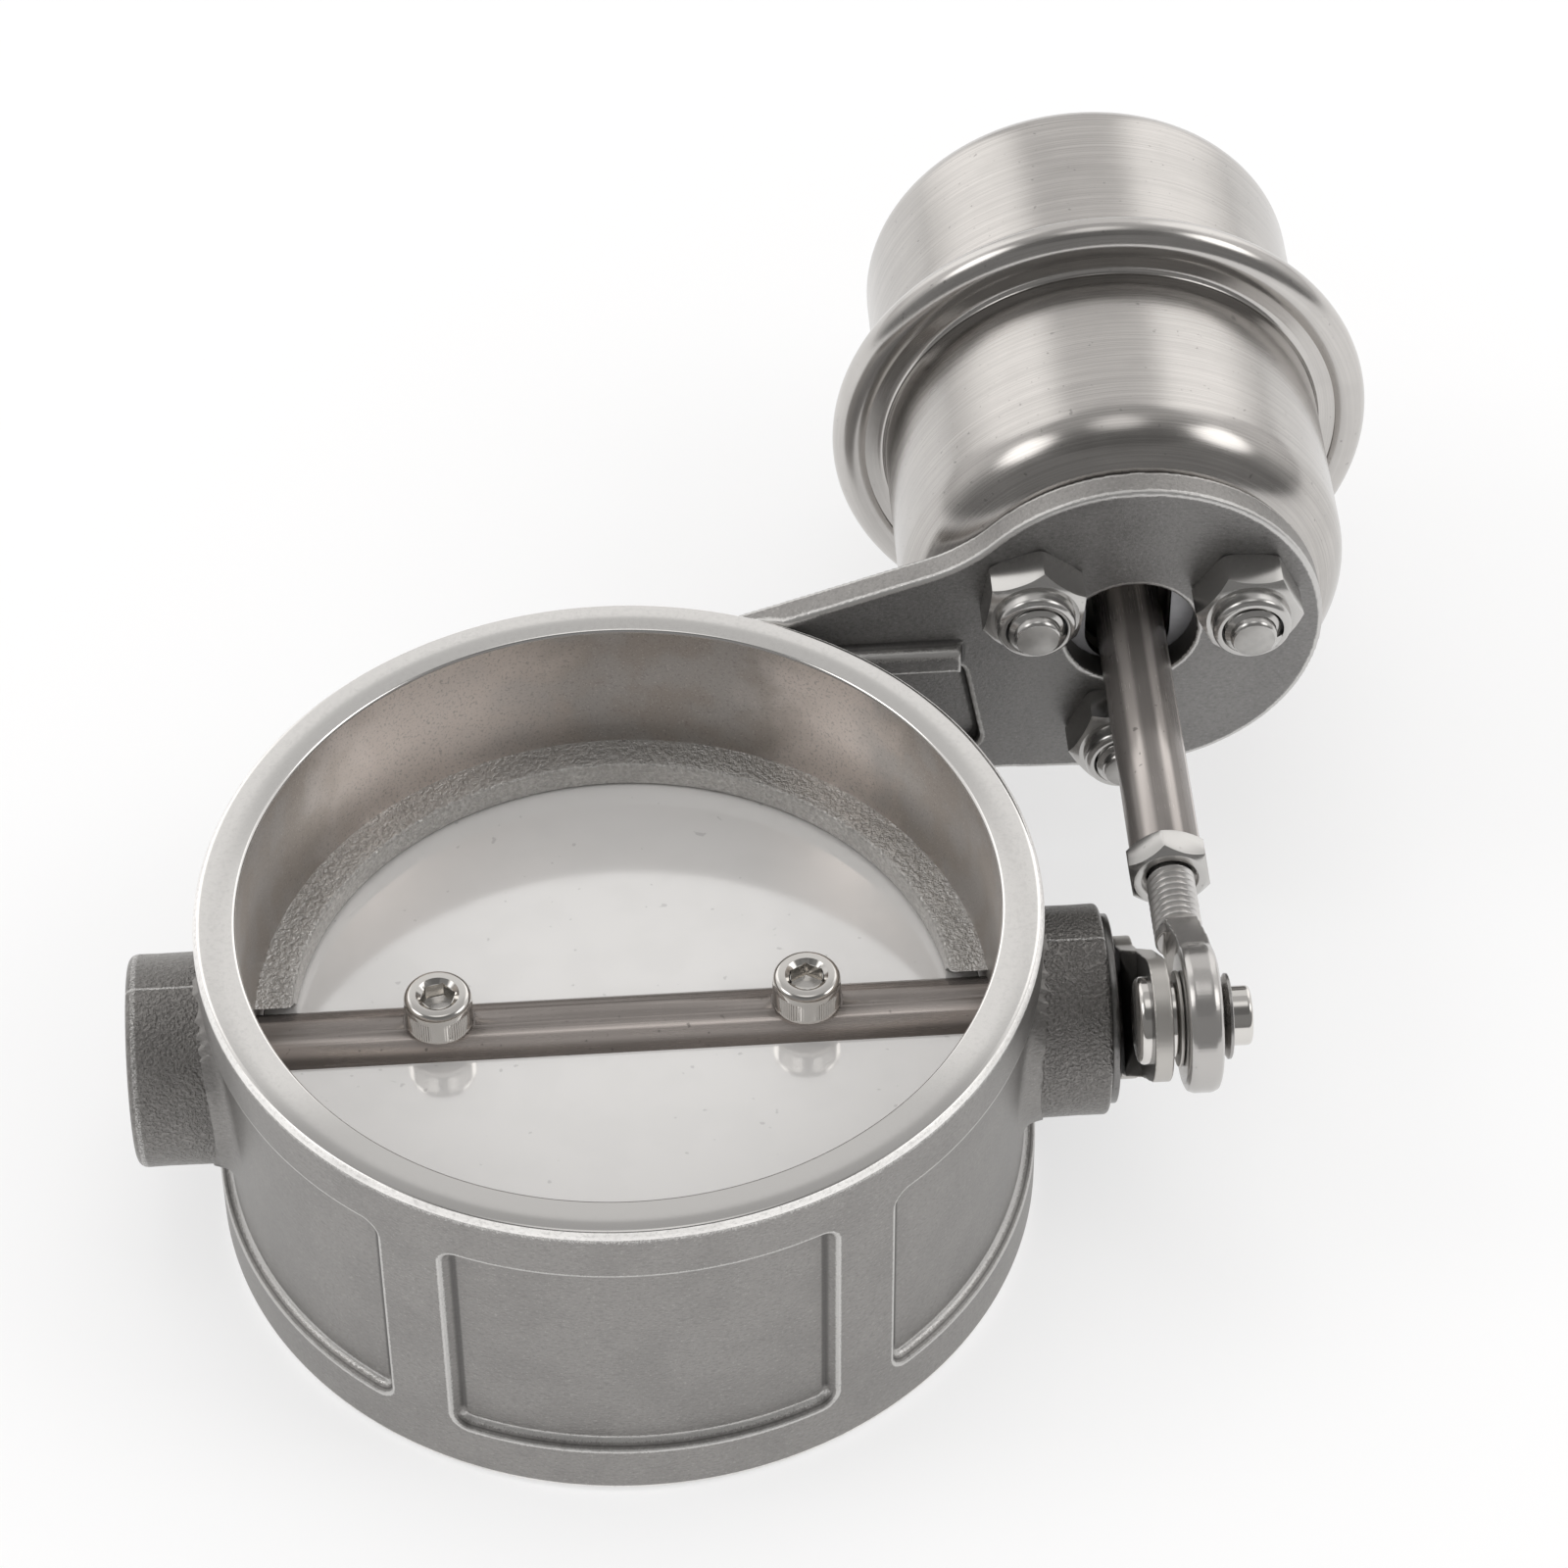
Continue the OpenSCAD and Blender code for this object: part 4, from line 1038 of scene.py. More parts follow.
@dataclass
class Duct:
    """Ring with its pockets, ledges and shaft bosses."""

    height: float = 40.7
    socket_r: float = 38.3
    socket_depth: float = 10.0
    waist_r: float = 37.6
    outer_r: float = 42.6
    rim_round: float = 0.8
    worn_sheen_w: float = 0.42
    shaft_z: float = SHAFT_Z
    waist_low: float = 15.75
    waist_high: float = 24.95
    ledge_r: float = 33.8
    ledge_t: float = 3.0
    bush_r: float = 5.05
    boss_r: float = 10.9
    seal_r: float = 7.0
    blind_x: float = 50.2
    drive_x: float = 49.3
    pocket_depth: float = 1.2
    pocket_band: float = 6.4
    corner: float = 2.0
    slope: float = 1.0
    flare: float = 2.0
    pockets: tuple[tuple[float, float], ...] = ((-90.0, 54.0), (0.0, 108.0), (180.0, 108.0), (103.5, 27.0))

    def pocket(self, place: Vector) -> float:
        """Depth of the pockets at a place on the outside, from 0 to 1.

        Args:
            place: The place in mm.

        Returns:
            1 on a pocket's floor, 0 on the webs.
        """
        r = math.hypot(place.x, place.y)
        if r < self.outer_r - 0.3:
            return 0.0
        turn = math.degrees(math.atan2(place.y, place.x))
        best = 0.0
        for centre, span in self.pockets:
            off = abs((turn - centre + 180.0) % 360.0 - 180.0)
            u = math.radians(off - span / 2) * self.outer_r + self.corner
            v = abs(place.z - self.height / 2) - (self.height / 2 - self.pocket_band) + self.corner
            edge = min(max(u, v), 0.0) + math.hypot(max(u, 0.0), max(v, 0.0)) - self.corner
            best = max(best, step(-edge, -0.1, self.slope))
        return best

    def swell(self, place: Vector) -> float:
        """Rise of the ring's outside towards a boss, from 0 to 1."""
        if math.hypot(place.x, place.y) < self.outer_r - 1.6:
            return 0.0
        away = math.hypot(place.y, place.z - self.shaft_z) - self.boss_r
        if away >= self.flare:
            return 0.0
        if away <= 0.0:
            return 1.0
        return 1.0 - math.sqrt(self.flare ** 2 - (self.flare - away) ** 2) / self.flare

    def ring_zone(self, place: Vector, normal: Vector) -> int:
        """0 for the cast outside, 1 for the rims, 2 for the duct's wall, 3 for the rims' worn edges, which
        are pale with a painted highlight.
        """
        r = math.hypot(place.x, place.y)
        half = self.height / 2
        if r > self.outer_r - self.worn_sheen_w and abs(place.z - half) > half - self.rim_round - 0.02:
            return 3
        if place.z > self.height - 0.75 or place.z < 0.75:
            return 1 if r > self.socket_r + 0.05 else 2
        return 2 if r < self.socket_r + 0.4 else 0

    def ring(self) -> None:
        """Builds the ring with pockets and flares."""
        h, o, s, e = self.height, self.outer_r, self.socket_r, self.rim_round
        # Rows lie closer where the pockets' long walls are
        edge = self.pocket_band
        low = [e + 0.8 * i for i in range(1, 7)] + [edge - 0.5 + 0.17 * i for i in range(14)]
        low += [edge + 2.4 + 0.7 * i for i in range(int((h / 2 - edge - 2.4) / 0.7) + 1)]
        low = sorted({round(t, 4) for t in low if e + 0.05 < t <= h / 2})
        rows = [h - t for t in low] + [t for t in reversed(low) if t < h / 2]
        profile: Profile = [(s, 0.3), (s, self.socket_depth), (self.waist_r, self.waist_low),
                            (self.waist_r, self.shaft_z), (self.waist_r, self.waist_high),
                            (s, h - self.socket_depth), (s, h - 0.3), (s + 0.12, h - 0.09), (s + 0.35, h)]
        profile += round_off(o - e, h - e, e, 90, 0, 6)
        profile += [(o, t) for t in rows]
        profile += round_off(o - e, e, e, 0, -90, 6)
        profile += [(s + 0.35, 0.0), (s + 0.12, 0.09)]
        obj = Bench.turned("ring_casting", Axis.Z, (0, 0, 0), profile, 880, closed=True)
        Bench.weigh(obj, self.pocket, -self.pocket_depth)
        Bench.weigh(obj, self.swell, self.flare)
        Bench.soften(obj, 40)
        cast = Finishes.CAST
        skin = PocketSkin("ring_skin", cast.colour, cast.metallic, cast.roughness, height=h, outer_r=o,
                          pocket_band=self.pocket_band, corner=self.corner, slope=self.slope,
                          pockets=self.pockets)
        Piece.finish(obj, Body.HOUSING, "cast_steel", [skin, Finishes.RIM, Finishes.DUCT, Finishes.WORN_SHEEN],
                     self.ring_zone, ["valve_ring"])

    def ledge(self, name: str, start: float, low: float) -> None:
        """Builds one half-round ledge.

        Args:
            name: Name of the piece.
            start: Angle that it starts at.
            low: Height of its underside.
        """
        inner, top = self.ledge_r, low + self.ledge_t
        profile: Profile = [(self.waist_r + 0.5, low), (inner + 0.5, low)]
        profile += round_off(inner + 0.5, low + 0.5, 0.5, 270, 180, 4)
        profile += round_off(inner + 0.4, top - 0.4, 0.4, 180, 90, 5)
        profile += [(inner + 1.2, top), (inner + 2.4, top), (self.waist_r + 0.5, top)]
        obj = Bench.turned(name, Axis.Z, (0, 0, 0), profile, 240, closed=True, start=start, sweep=180)
        reach = self.outer_r
        Bench.cut(obj, Bench.rod("bore", Axis.X, (0, 0, self.shaft_z), self.bush_r, -reach, reach))
        Bench.soften(obj)
        # Worn bright edges with a painted highlight, painted shade in the corners
        Bench.wear_and_shade(obj, 1, 2.4)
        Piece.finish(obj, Body.HOUSING, "cast_steel", [Finishes.PEBBLED], nodes=["valve_ring"])

    def boss(self, name: str, side: int, end: float, bore: float, ease: float) -> None:
        """Builds one shaft boss.

        Args:
            name: Name of the piece.
            side: 1 on the drive side, -1 on the closed side.
            end: Distance of its end face from the duct's middle.
            bore: Radius of the hole in its end face, or 0.
            ease: Radius of its rounded edge.
        """
        r = self.boss_r
        root, out = side * (self.socket_r + 0.4), side * (self.outer_r + 0.4)
        profile: Profile = [(bore, root), (r, root), (r, out), (r - 0.04, side * (end - 3.0))]
        profile += [(q, side * t) for q, t in round_off(r - ease, end - ease, ease, 3, 90, 7)]
        profile += [(r * 0.62, side * end), (bore, side * end)]
        obj = Bench.turned(name, Axis.X, (0, 0, self.shaft_z), profile, 160, closed=bore > 0)
        Bench.soften(obj, 45)
        Piece.finish(obj, Body.HOUSING, "cast_steel", [Finishes.BOSS], nodes=["valve_ring"])

    def build(self) -> None:
        """Builds all pieces of the duct."""
        self.ring()
        self.ledge("rear_ledge", 0.0, self.waist_high - self.ledge_t)
        self.ledge("front_ledge", 180.0, self.waist_low)
        self.boss("drive_boss", 1, self.drive_x, self.seal_r, 0.55)
        self.boss("closed_boss", -1, self.blind_x, 0.0, 1.0)
        for node in ("blind_side_bush", "drive_side_bush"):
            Piece.keep(node, Finishes.BRONZE)
        Piece.keep("shaft_seal", Finishes.GRAPHITE)
        Piece.keep("seal_cover", Finishes.PRESSED_AND_SHADED, 0.15)


@dataclass
class Flap:
    """Shaft, round plate and the plate's two screws."""

    shaft_z: float = SHAFT_Z
    plate_r: float = 37.2
    plate_t: float = 3.0
    screw_x: float = 18.8
    seat_z: float = 24.2
    head_r: float = 3.5
    head_h: float = 4.0
    thread_r: float = 2.0
    thread_l: float = 8.0
    key_w: float = 3.2
    key_h: float = 2.2
    key_turns: tuple[float, float] = (12.0, 30.0)
    knurls: int = 84

    def plate(self) -> None:
        """Builds the plate with eased edges."""
        r, t, e = self.plate_r, self.plate_t / 2, 0.25
        profile: Profile = [(0, -t), (r * 0.5, -t), (r - 1.2, -t)] + round_off(r - e, e - t, e, -90, 0, 4)
        profile += round_off(r - e, t - e, e, 0, 90, 4) + [(r - 1.2, t), (r * 0.5, t), (0, t)]
        obj = Bench.turned("round_plate", Axis.Z, (0, 0, 0), profile, 256)
        obj.data.transform(Matrix.Translation((0, 0, self.shaft_z * MM)))
        Bench.soften(obj)
        Piece.finish(obj, Body.SHAFT, "polished_steel", [Finishes.PLATE], nodes=["butterfly_plate"])

    def screw(self, name: str, side: int) -> None:
        """Builds one socket screw with a knurled head.

        Args:
            name: Name of the piece.
            side: 1 for the drive side, -1 for the other.
        """
        z, r, h = self.seat_z, self.head_r, self.head_h
        centre = (side * self.screw_x, 0.0, 0.0)
        rows = [z + 0.35 + (h - 1.55) * i / 8 for i in range(9)]
        k, low = self.thread_r, z - self.thread_l
        profile: Profile = [(0, low), (k - 0.3, low), (k, low + 0.3), (k, z), (r - 0.3, z), (r, z + 0.25)]
        profile += [(r, t) for t in rows] + [(r - 0.03, z + h - 0.95)]
        profile += round_off(r - 0.75, z + h - 0.72, 0.72, 5, 90, 7) + [(2.1, z + h), (0, z + h)]
        obj = Bench.turned(name, Axis.Z, centre, profile, 2 * self.knurls)

        def groove(place: Vector) -> float:
            """1 in the knurl's grooves."""
            x, y = place.x - centre[0], place.y
            if math.hypot(x, y) < r - 0.02 or not rows[0] - 0.01 < place.z < rows[-1] + 0.01:
                return 0.0
            return float(round(math.degrees(math.atan2(y, x)) / (180 / self.knurls)) % 2)

        Bench.weigh(obj, groove, -0.09)
        top = z + h
        entry: Profile = [(0, top - 0.42), (1.7, top - 0.42), (2.25, top + 0.03), (0, top + 0.03)]
        Bench.cut(obj, Bench.turned("entry", Axis.Z, centre, entry, 72))
        corner = self.key_turns[side > 0]
        Bench.cut(obj, Bench.hexagon("key", Axis.Z, (centre[0], 0, top), self.key_w, 2 * self.key_h, corner))
        Bench.ease(obj, 0.07, 2, 50)
        Bench.soften(obj, 35)
        Piece.finish(obj, Body.SHAFT, "bright_steel", [Finishes.BRIGHT], nodes=["plate_screws"])

    def build(self) -> None:
        """Builds all pieces of the flap."""
        self.plate()
        Piece.keep("valve_shaft", Finishes.BAR, 0.12)
        self.screw("left_plate_screw", -1)
        self.screw("right_plate_screw", 1)


@dataclass
class Linkage:
    """Lever, crank pin, rod end, jam nut and rod."""

    rod_x: float = 56.35
    pin_y: float = -13.647
    pin_z: float = 33.997
    pin_r: float = 3.0
    rivet_r: float = 4.4
    rivet_h: float = 1.3
    tip_x: float = 52.0
    shoulder_x: float = 53.9
    shoulder_r: float = 3.8
    clip_x: float = 59.2
    clip_r: float = 4.3
    pin_end_x: float = 62.2
    eye_r: float = 7.5
    blade_l: float = 3.9
    nut_y: float = 4.953
    nut_t: float = 3.3
    nut_w: float = 8.0
    nut_turn: float = 99.0
    pitch: float = 0.8
    core_r: float = 2.1
    crest_r: float = 2.5
    turns: float = 9.0
    shank_end: float = 12.0

    def lever(self) -> None:
        """Builds the joggled lever with pressed edges and painted shade on its side towards the ring."""
        obj = Bench.from_node("crank_lever", "joggled_lever")
        Bench.reskin(obj, 0.16, 4)

        def zone(place: Vector, normal: Vector) -> int:
            """1 on the side towards the ring, which has painted shade, 0 elsewhere."""
            return 1 if normal.x < -0.8 else 0

        Piece.finish(obj, Body.SHAFT, "strip_steel", [Finishes.STRIP, Finishes.PRESSED_AND_SHADED], zone,
                     ["crank_lever"])

    def pin(self) -> None:
        """Builds the riveted pin, its washer and its dished clip."""
        c, r = (0.0, self.pin_y, self.pin_z), self.pin_r
        x0, xs, xe = self.tip_x - self.rivet_h, self.shoulder_x, self.pin_end_x
        rivet, k = self.rivet_r, self.shoulder_r
        profile: Profile = [(0, x0)] + round_off(rivet - 0.7, x0 + 0.7, 0.7, -90, 0, 5)
        profile += [(rivet, self.tip_x), (r, self.tip_x), (r, xs), (k, xs)]
        profile += [(k, xs + 0.55), (k - 0.15, xs + 0.7), (r, xs + 0.7), (r, xe - 0.55)]
        profile += round_off(r - 0.45, xe - 0.45, 0.45, 0, 90, 5) + [(0, xe)]
        obj = Bench.turned("crank_pin_turned", Axis.X, c, profile, 96)
        Bench.soften(obj)
        Piece.finish(obj, Body.SHAFT, "bright_steel", [Finishes.BRIGHT], nodes=["crank_pin"])
        Piece.keep("pin_washer", Finishes.STRIP, 0.08)
        x, q = self.clip_x, self.clip_r
        profile = [(r + 0.02, x + 0.05), (r + 0.4, x + 0.01), (q - 0.2, x + 0.42), (q, x + 0.55)]
        profile += [(q, x + 0.8), (q - 0.12, x + 0.89), (r + 0.55, x + 0.46), (r + 0.3, x + 0.36)]
        profile += [(r + 0.02, x + 0.4)]
        clip = Bench.turned("dished_clip", Axis.X, c, profile, 96, closed=True)
        Bench.soften(clip)
        Piece.finish(clip, Body.SHAFT, "strip_steel", [Finishes.CLIP], nodes=["pin_clip"])

    def eye(self) -> None:
        """Builds the forged rod end with its threaded shank."""
        neck = self.pin_y + self.eye_r + self.blade_l
        obj = Bench.from_node("rod_end", "forged_rod_end")
        Bench.only(obj)
        bpy.ops.object.mode_set(mode="EDIT")
        bpy.ops.mesh.select_all(action="SELECT")
        bpy.ops.mesh.bisect(plane_co=(0, neck * MM, 0), plane_no=(0, 1, 0), clear_outer=True, use_fill=True)
        bpy.ops.object.mode_set(mode="OBJECT")
        Bench.reskin(obj, 0.14, 6)
        Piece.finish(obj, Body.ROD, "bright_steel", [Finishes.FORGED], nodes=["rod_end"])
        c = (self.rod_x, 0.0, self.pin_z)
        k, low, high = self.core_r, neck - 0.4, self.shank_end
        core = Bench.turned("shank", Axis.Y, c, [(0, low), (k, low), (k, high), (0, high)], 64)
        ridge = Bench.helix("ridge", Axis.Y, c, k, self.crest_r, self.pitch, neck - 0.35, self.turns)
        shank = Bench.join([core, ridge], "threaded_shank")
        Bench.soften(shank, 75)
        Piece.finish(shank, Body.ROD, "bright_steel", [Finishes.THREAD], nodes=["rod_end"])

    def nut(self) -> None:
        """Builds the jam nut."""
        y, t, w = self.nut_y, self.nut_t, self.nut_w
        c = (self.rod_x, 0.0, self.pin_z)
        middle = (self.rod_x, y + t / 2, self.pin_z)
        obj = Bench.hexagon("jam_nut_shaped", Axis.Y, middle, w, t, self.nut_turn)
        r = corner_radius(w) + 0.05
        front, back = y - 0.01, y + t + 0.01
        body: Profile = [(0, front), (w / 2 - 0.3, front), (r, y + 0.8), (r, y + t - 0.5)]
        body += [(w / 2 - 0.05, back), (0, back)]
        Bench.cut(obj, Bench.turned("body", Axis.Y, c, body, 128), "INTERSECT")
        k, far = self.crest_r - 0.15, y + t + 1
        bore: Profile = [(0, y - 1), (3.1, y - 1), (3.1, y - 0.1), (k, y + 0.5), (k, far), (0, far)]
        Bench.cut(obj, Bench.turned("bore", Axis.Y, c, bore, 96))
        Bench.ease(obj, 0.1, 2, 30)
        Bench.soften(obj, 30)
        Piece.finish(obj, Body.ROD, "bright_steel", [Finishes.NUT], nodes=["jam_nut"])

    def build(self) -> None:
        """Builds all pieces of the linkage."""
        self.lever()
        self.pin()
        self.eye()
        self.nut()
        Piece.keep("actuator_rod", Finishes.ROD, 0.25)


@dataclass
class Mounting:
    """Bracket with the studs and lock nuts that hold the canister."""

    act_x: float = CAN_X
    act_z: float = CAN_Z
    face_y: float = 38.0
    hole_r: float = 7.6
    rib_x: float = 37.5
    rib_z: float = 30.0
    stud_circle_r: float = 13.15
    stud_angle: float = 26.0
    stud_r: float = 2.98
    core_r: float = 2.45
    pitch: float = 1.0
    stud_end: float = 1.4
    stud_back: float = 43.0
    nut_w: float = 10.0
    hex_h: float = 4.6
    collar_h: float = 1.8
    collar_r: float = 4.15
    turns: tuple[float, float, float] = (56.0, 21.0, 6.0)

    def bracket(self) -> None:
        """Builds the arm and round plate with their cast edges."""
        obj = Bench.from_node("canister_bracket", "cast_bracket")
        Bench.reskin(obj, 0.26, 2)
        group = obj.vertex_groups.new(name="rib")
        inside = [v.index for v in obj.data.vertices
                  if v.co.x < self.rib_x * MM and v.co.y < (self.face_y + 1.2) * MM
                  and abs(v.co.z - self.rib_z * MM) < 12.0 * MM]
        group.add(inside, 1.0, "REPLACE")
        Bench.modify(obj, "SMOOTH", factor=0.5, iterations=9, vertex_group=group.name)
        obj.vertex_groups.clear()
        # Worn bright edges with a painted highlight, painted shade in the corners
        Bench.wear_and_shade(obj, 1, 11.0)

        def zone(place: Vector, normal: Vector) -> int:
            """0 on the ground front and back, 2 in the rod's hole, which has painted shade, 1 on the cast
            edges.
            """
            if abs(normal.y) > 0.7:
                return 0
            return 2 if math.hypot(place.x - self.act_x, place.z - self.act_z) < self.hole_r else 1

        Piece.finish(obj, Body.HOUSING, "cast_steel", [Finishes.FACED, Finishes.CAST, Finishes.SHADE_BORE], zone,
                     ["canister_bracket"])

    def lock_nut(self, index: int) -> None:
        """Builds one lock nut and the end of its stud.

        Args:
            index: Number of the stud.
        """
        a = math.radians(self.stud_angle + 120 * index)
        out = self.stud_circle_r
        c = (self.act_x + out * math.cos(a), 0.0, self.act_z + out * math.sin(a))
        w, y1 = self.nut_w, self.face_y - 0.02
        y0 = y1 - self.hex_h
        front = y0 - self.collar_h
        corner = corner_radius(w) + 0.05
        middle = (c[0], (y0 + y1) / 2, c[2])
        obj = Bench.hexagon(f"lock_nut_{index + 1}", Axis.Y, middle, w, self.hex_h, self.turns[index])
        body: Profile = [(0, y0 - 0.01), (w / 2 - 0.35, y0 - 0.01), (w / 2 + 0.2, y0 + 0.3)]
        body += [(corner, y0 + 0.85), (corner, y1 - 0.35), (w / 2 + 0.2, y1 + 0.01), (0, y1 + 0.01)]
        Bench.cut(obj, Bench.turned("body", Axis.Y, c, body, 144), "INTERSECT")
        Bench.cut(obj, Bench.rod("bore", Axis.Y, c, self.stud_r + 0.05, y0 - 1, y1 + 1))
        Bench.ease(obj, 0.14, 3, 28)
        k = self.collar_r
        profile: Profile = [(3.1, y0 + 0.3), (k + 0.15, y0 + 0.3), (k + 0.08, y0), (k, y0 - 0.35)]
        profile += round_off(k - 0.75, front + 0.75, 0.75, 0, -100, 8)
        profile += [(3.25, front + 0.12), (3.2, front + 0.35), (3.3, front + 0.55)]
        profile += [(3.55, front + 0.62), (3.55, y0 + 0.2)]
        collar = Bench.turned("collar", Axis.Y, c, profile, 112, closed=True)
        nut = Bench.join([obj, collar], f"lock_nut_{index + 1}")
        Bench.soften(nut, 34)
        Piece.finish(nut, Body.HOUSING, "bright_steel", [Finishes.NUT], nodes=["lock_nuts"])
        end, back, k = front - self.stud_end, self.stud_back, self.core_r
        core: Profile = [(0, end), (k - 0.3, end), (k - 0.15, end + 0.12), (k, end + 0.5)]
        core += [(k, back), (0, back)]
        stud = Bench.turned("stud", Axis.Y, c, core, 80)
        ridge = Bench.helix("ridge", Axis.Y, c, k, self.stud_r, self.pitch, end + 0.25, 4.0)
        stud = Bench.join([stud, ridge], f"stud_{index + 1}")
        Bench.soften(stud, 75)

        def zone(place: Vector, normal: Vector) -> int:
            """1 on the stud's cut end, 0 on its thread."""
            return 1 if normal.y < -0.9 and place.y < end + 0.1 else 0

        Piece.finish(stud, Body.HOUSING, "bright_steel", [Finishes.NUT, Finishes.SAWN], zone,
                     ["mounting_studs"])

    def build(self) -> None:
        """Builds all pieces of the mounting."""
        self.bracket()
        for index in range(3):
            self.lock_nut(index)
        Piece.keep("nut_inserts", Finishes.NYLON)


@dataclass
class Canister:
    """The two cups with their rolled bead, the nipple and what is inside."""

    centre: Point = (CAN_X, 0.0, CAN_Z)
    front_y: float = 41.22
    bead_y: float = 70.4
    rear_y: float = 98.0
    cup_r: float = 23.8
    wall: float = 1.0
    front_corner: float = 7.2
    rear_corner: float = 4.0
    bead_r: float = 29.4
    bead_round: float = 2.2
    front_fillet: float = 0.8
    rear_fillet: float = 1.6
    nipple_bore: float = 2.88
    blank_r: float = 4.5
    slot_r: float = 4.55
    slot_lift: float = 2.826
    front_face_r: float = 13.0
    travel: float = 27.3

    def zone(self, place: Vector, normal: Vector) -> int:
        """1 on the rolled bead and its fillets, 2 on the face in the bracket's hole, which has painted shade,
        0 on the cups.
        """
        r = math.hypot(place.x - self.centre[0], place.z - self.centre[2])
        if r < self.front_face_r and place.y < self.front_y + 0.5 and normal.y < -0.9:
            return 2
        return 1 if r > self.cup_r + 0.12 else 0

    def front(self) -> None:
        """Builds the front cup with its deep rounded shoulder and flange."""
        y, r, k, w = self.front_y, self.cup_r, self.front_corner, self.wall
        turn = self.front_fillet
        hole = self.blank_r
        profile: Profile = [(hole, y), (9.0, y), (r - k - 1.0, y)] + round_off(r - k, y + k, k, -90, 0, 16)
        profile += [(r, y + 11.0), (r, 60.0)]
        seat = self.bead_y - w - 0.6
        profile += round_off(r + turn, seat - turn, turn, 180, 90, 6)
        back = self.bead_r - self.bead_round - 0.6
        hem = self.bead_y - 0.05
        profile += [(back - 0.62, seat), (back, seat + 0.75), (back, hem), (r - w, hem)]
        profile += round_off(r - k, y + k, k - w, 0, -90, 10) + [(hole, y + w)]
        obj = Bench.turned("front_cup", Axis.Y, self.centre, profile, 220, closed=True)
        q = self.slot_r
        for lift in (-self.slot_lift, self.slot_lift):
            middle = (self.centre[0], 0.0, self.centre[2] + lift)
            Bench.cut(obj, Bench.rod("hole", Axis.Y, middle, q, y - 0.5, y + 2))
        Bench.clear()
        middle = Vector((self.centre[0], y, self.centre[2]))
        bpy.ops.mesh.primitive_cube_add(size=MM, location=middle * MM)
        block = bpy.context.object
        block.scale = (2 * q, 4.0, 2 * self.slot_lift)
        Bench.settle(block)
        Bench.cut(obj, block)
        Bench.soften(obj, 40)
        Piece.finish(obj, Body.HOUSING, "canister", [Finishes.CUP, Finishes.BEAD, Finishes.SHADED], self.zone,
                     ["front_shell"])

    def rear(self) -> None:
        """Builds the rear cup with the bead that grips the flange."""
        r, k, w, b = self.cup_r, self.rear_corner, self.wall, self.bead_round
        mid = self.bead_r - b
        neck = self.rear_fillet
        end, bore = self.rear_y, self.nipple_bore
        profile: Profile = [(bore, end), (10.0, end)] + round_off(r - k, end - k, k, 90, 0, 12)
        profile += [(r, 90.0), (r, 80.0)]
        profile += round_off(r + neck, self.bead_y + b + neck - 0.5, neck, 180, 234, 6)
        profile += round_off(mid, self.bead_y, b, 128, -125, 30)
        profile += round_off(mid, self.bead_y, b - w, -125, 126, 14)
        profile += [(r - w + 1.0, self.bead_y + 0.9), (r - w, self.bead_y + 1.9)]
        profile += round_off(r - k, end - k, k - w, 0, 90, 8) + [(bore, end - w)]
        obj = Bench.turned("rear_cup", Axis.Y, self.centre, profile, 220, closed=True)
        Bench.soften(obj, 40)
        Piece.finish(obj, Body.HOUSING, "canister", [Finishes.CUP, Finishes.BEAD], self.zone, ["rear_shell"])

    def spring(self) -> None:
        """Builds the return spring as the CAD node gives it."""
        obj = Bench.from_node("return_spring", "coiled_spring")
        Bench.soften(obj, 50)
        Piece.finish(obj, Body.HOUSING, "spring_steel", [Finishes.WIRE], nodes=["return_spring"])
        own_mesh(obj)

    def build(self) -> None:
        """Builds all pieces of the canister."""
        self.front()
        self.rear()
        Piece.keep("vacuum_nipple", Finishes.STRIP, 0.1)
        for node in ("stud_plate", "piston_cup", "clamp_disc"):
            Piece.keep(node, Finishes.STRIP)
        Piece.keep("diaphragm", Finishes.RUBBER)
        Piece.keep("piston_nut", Finishes.BRIGHT)
        self.spring()


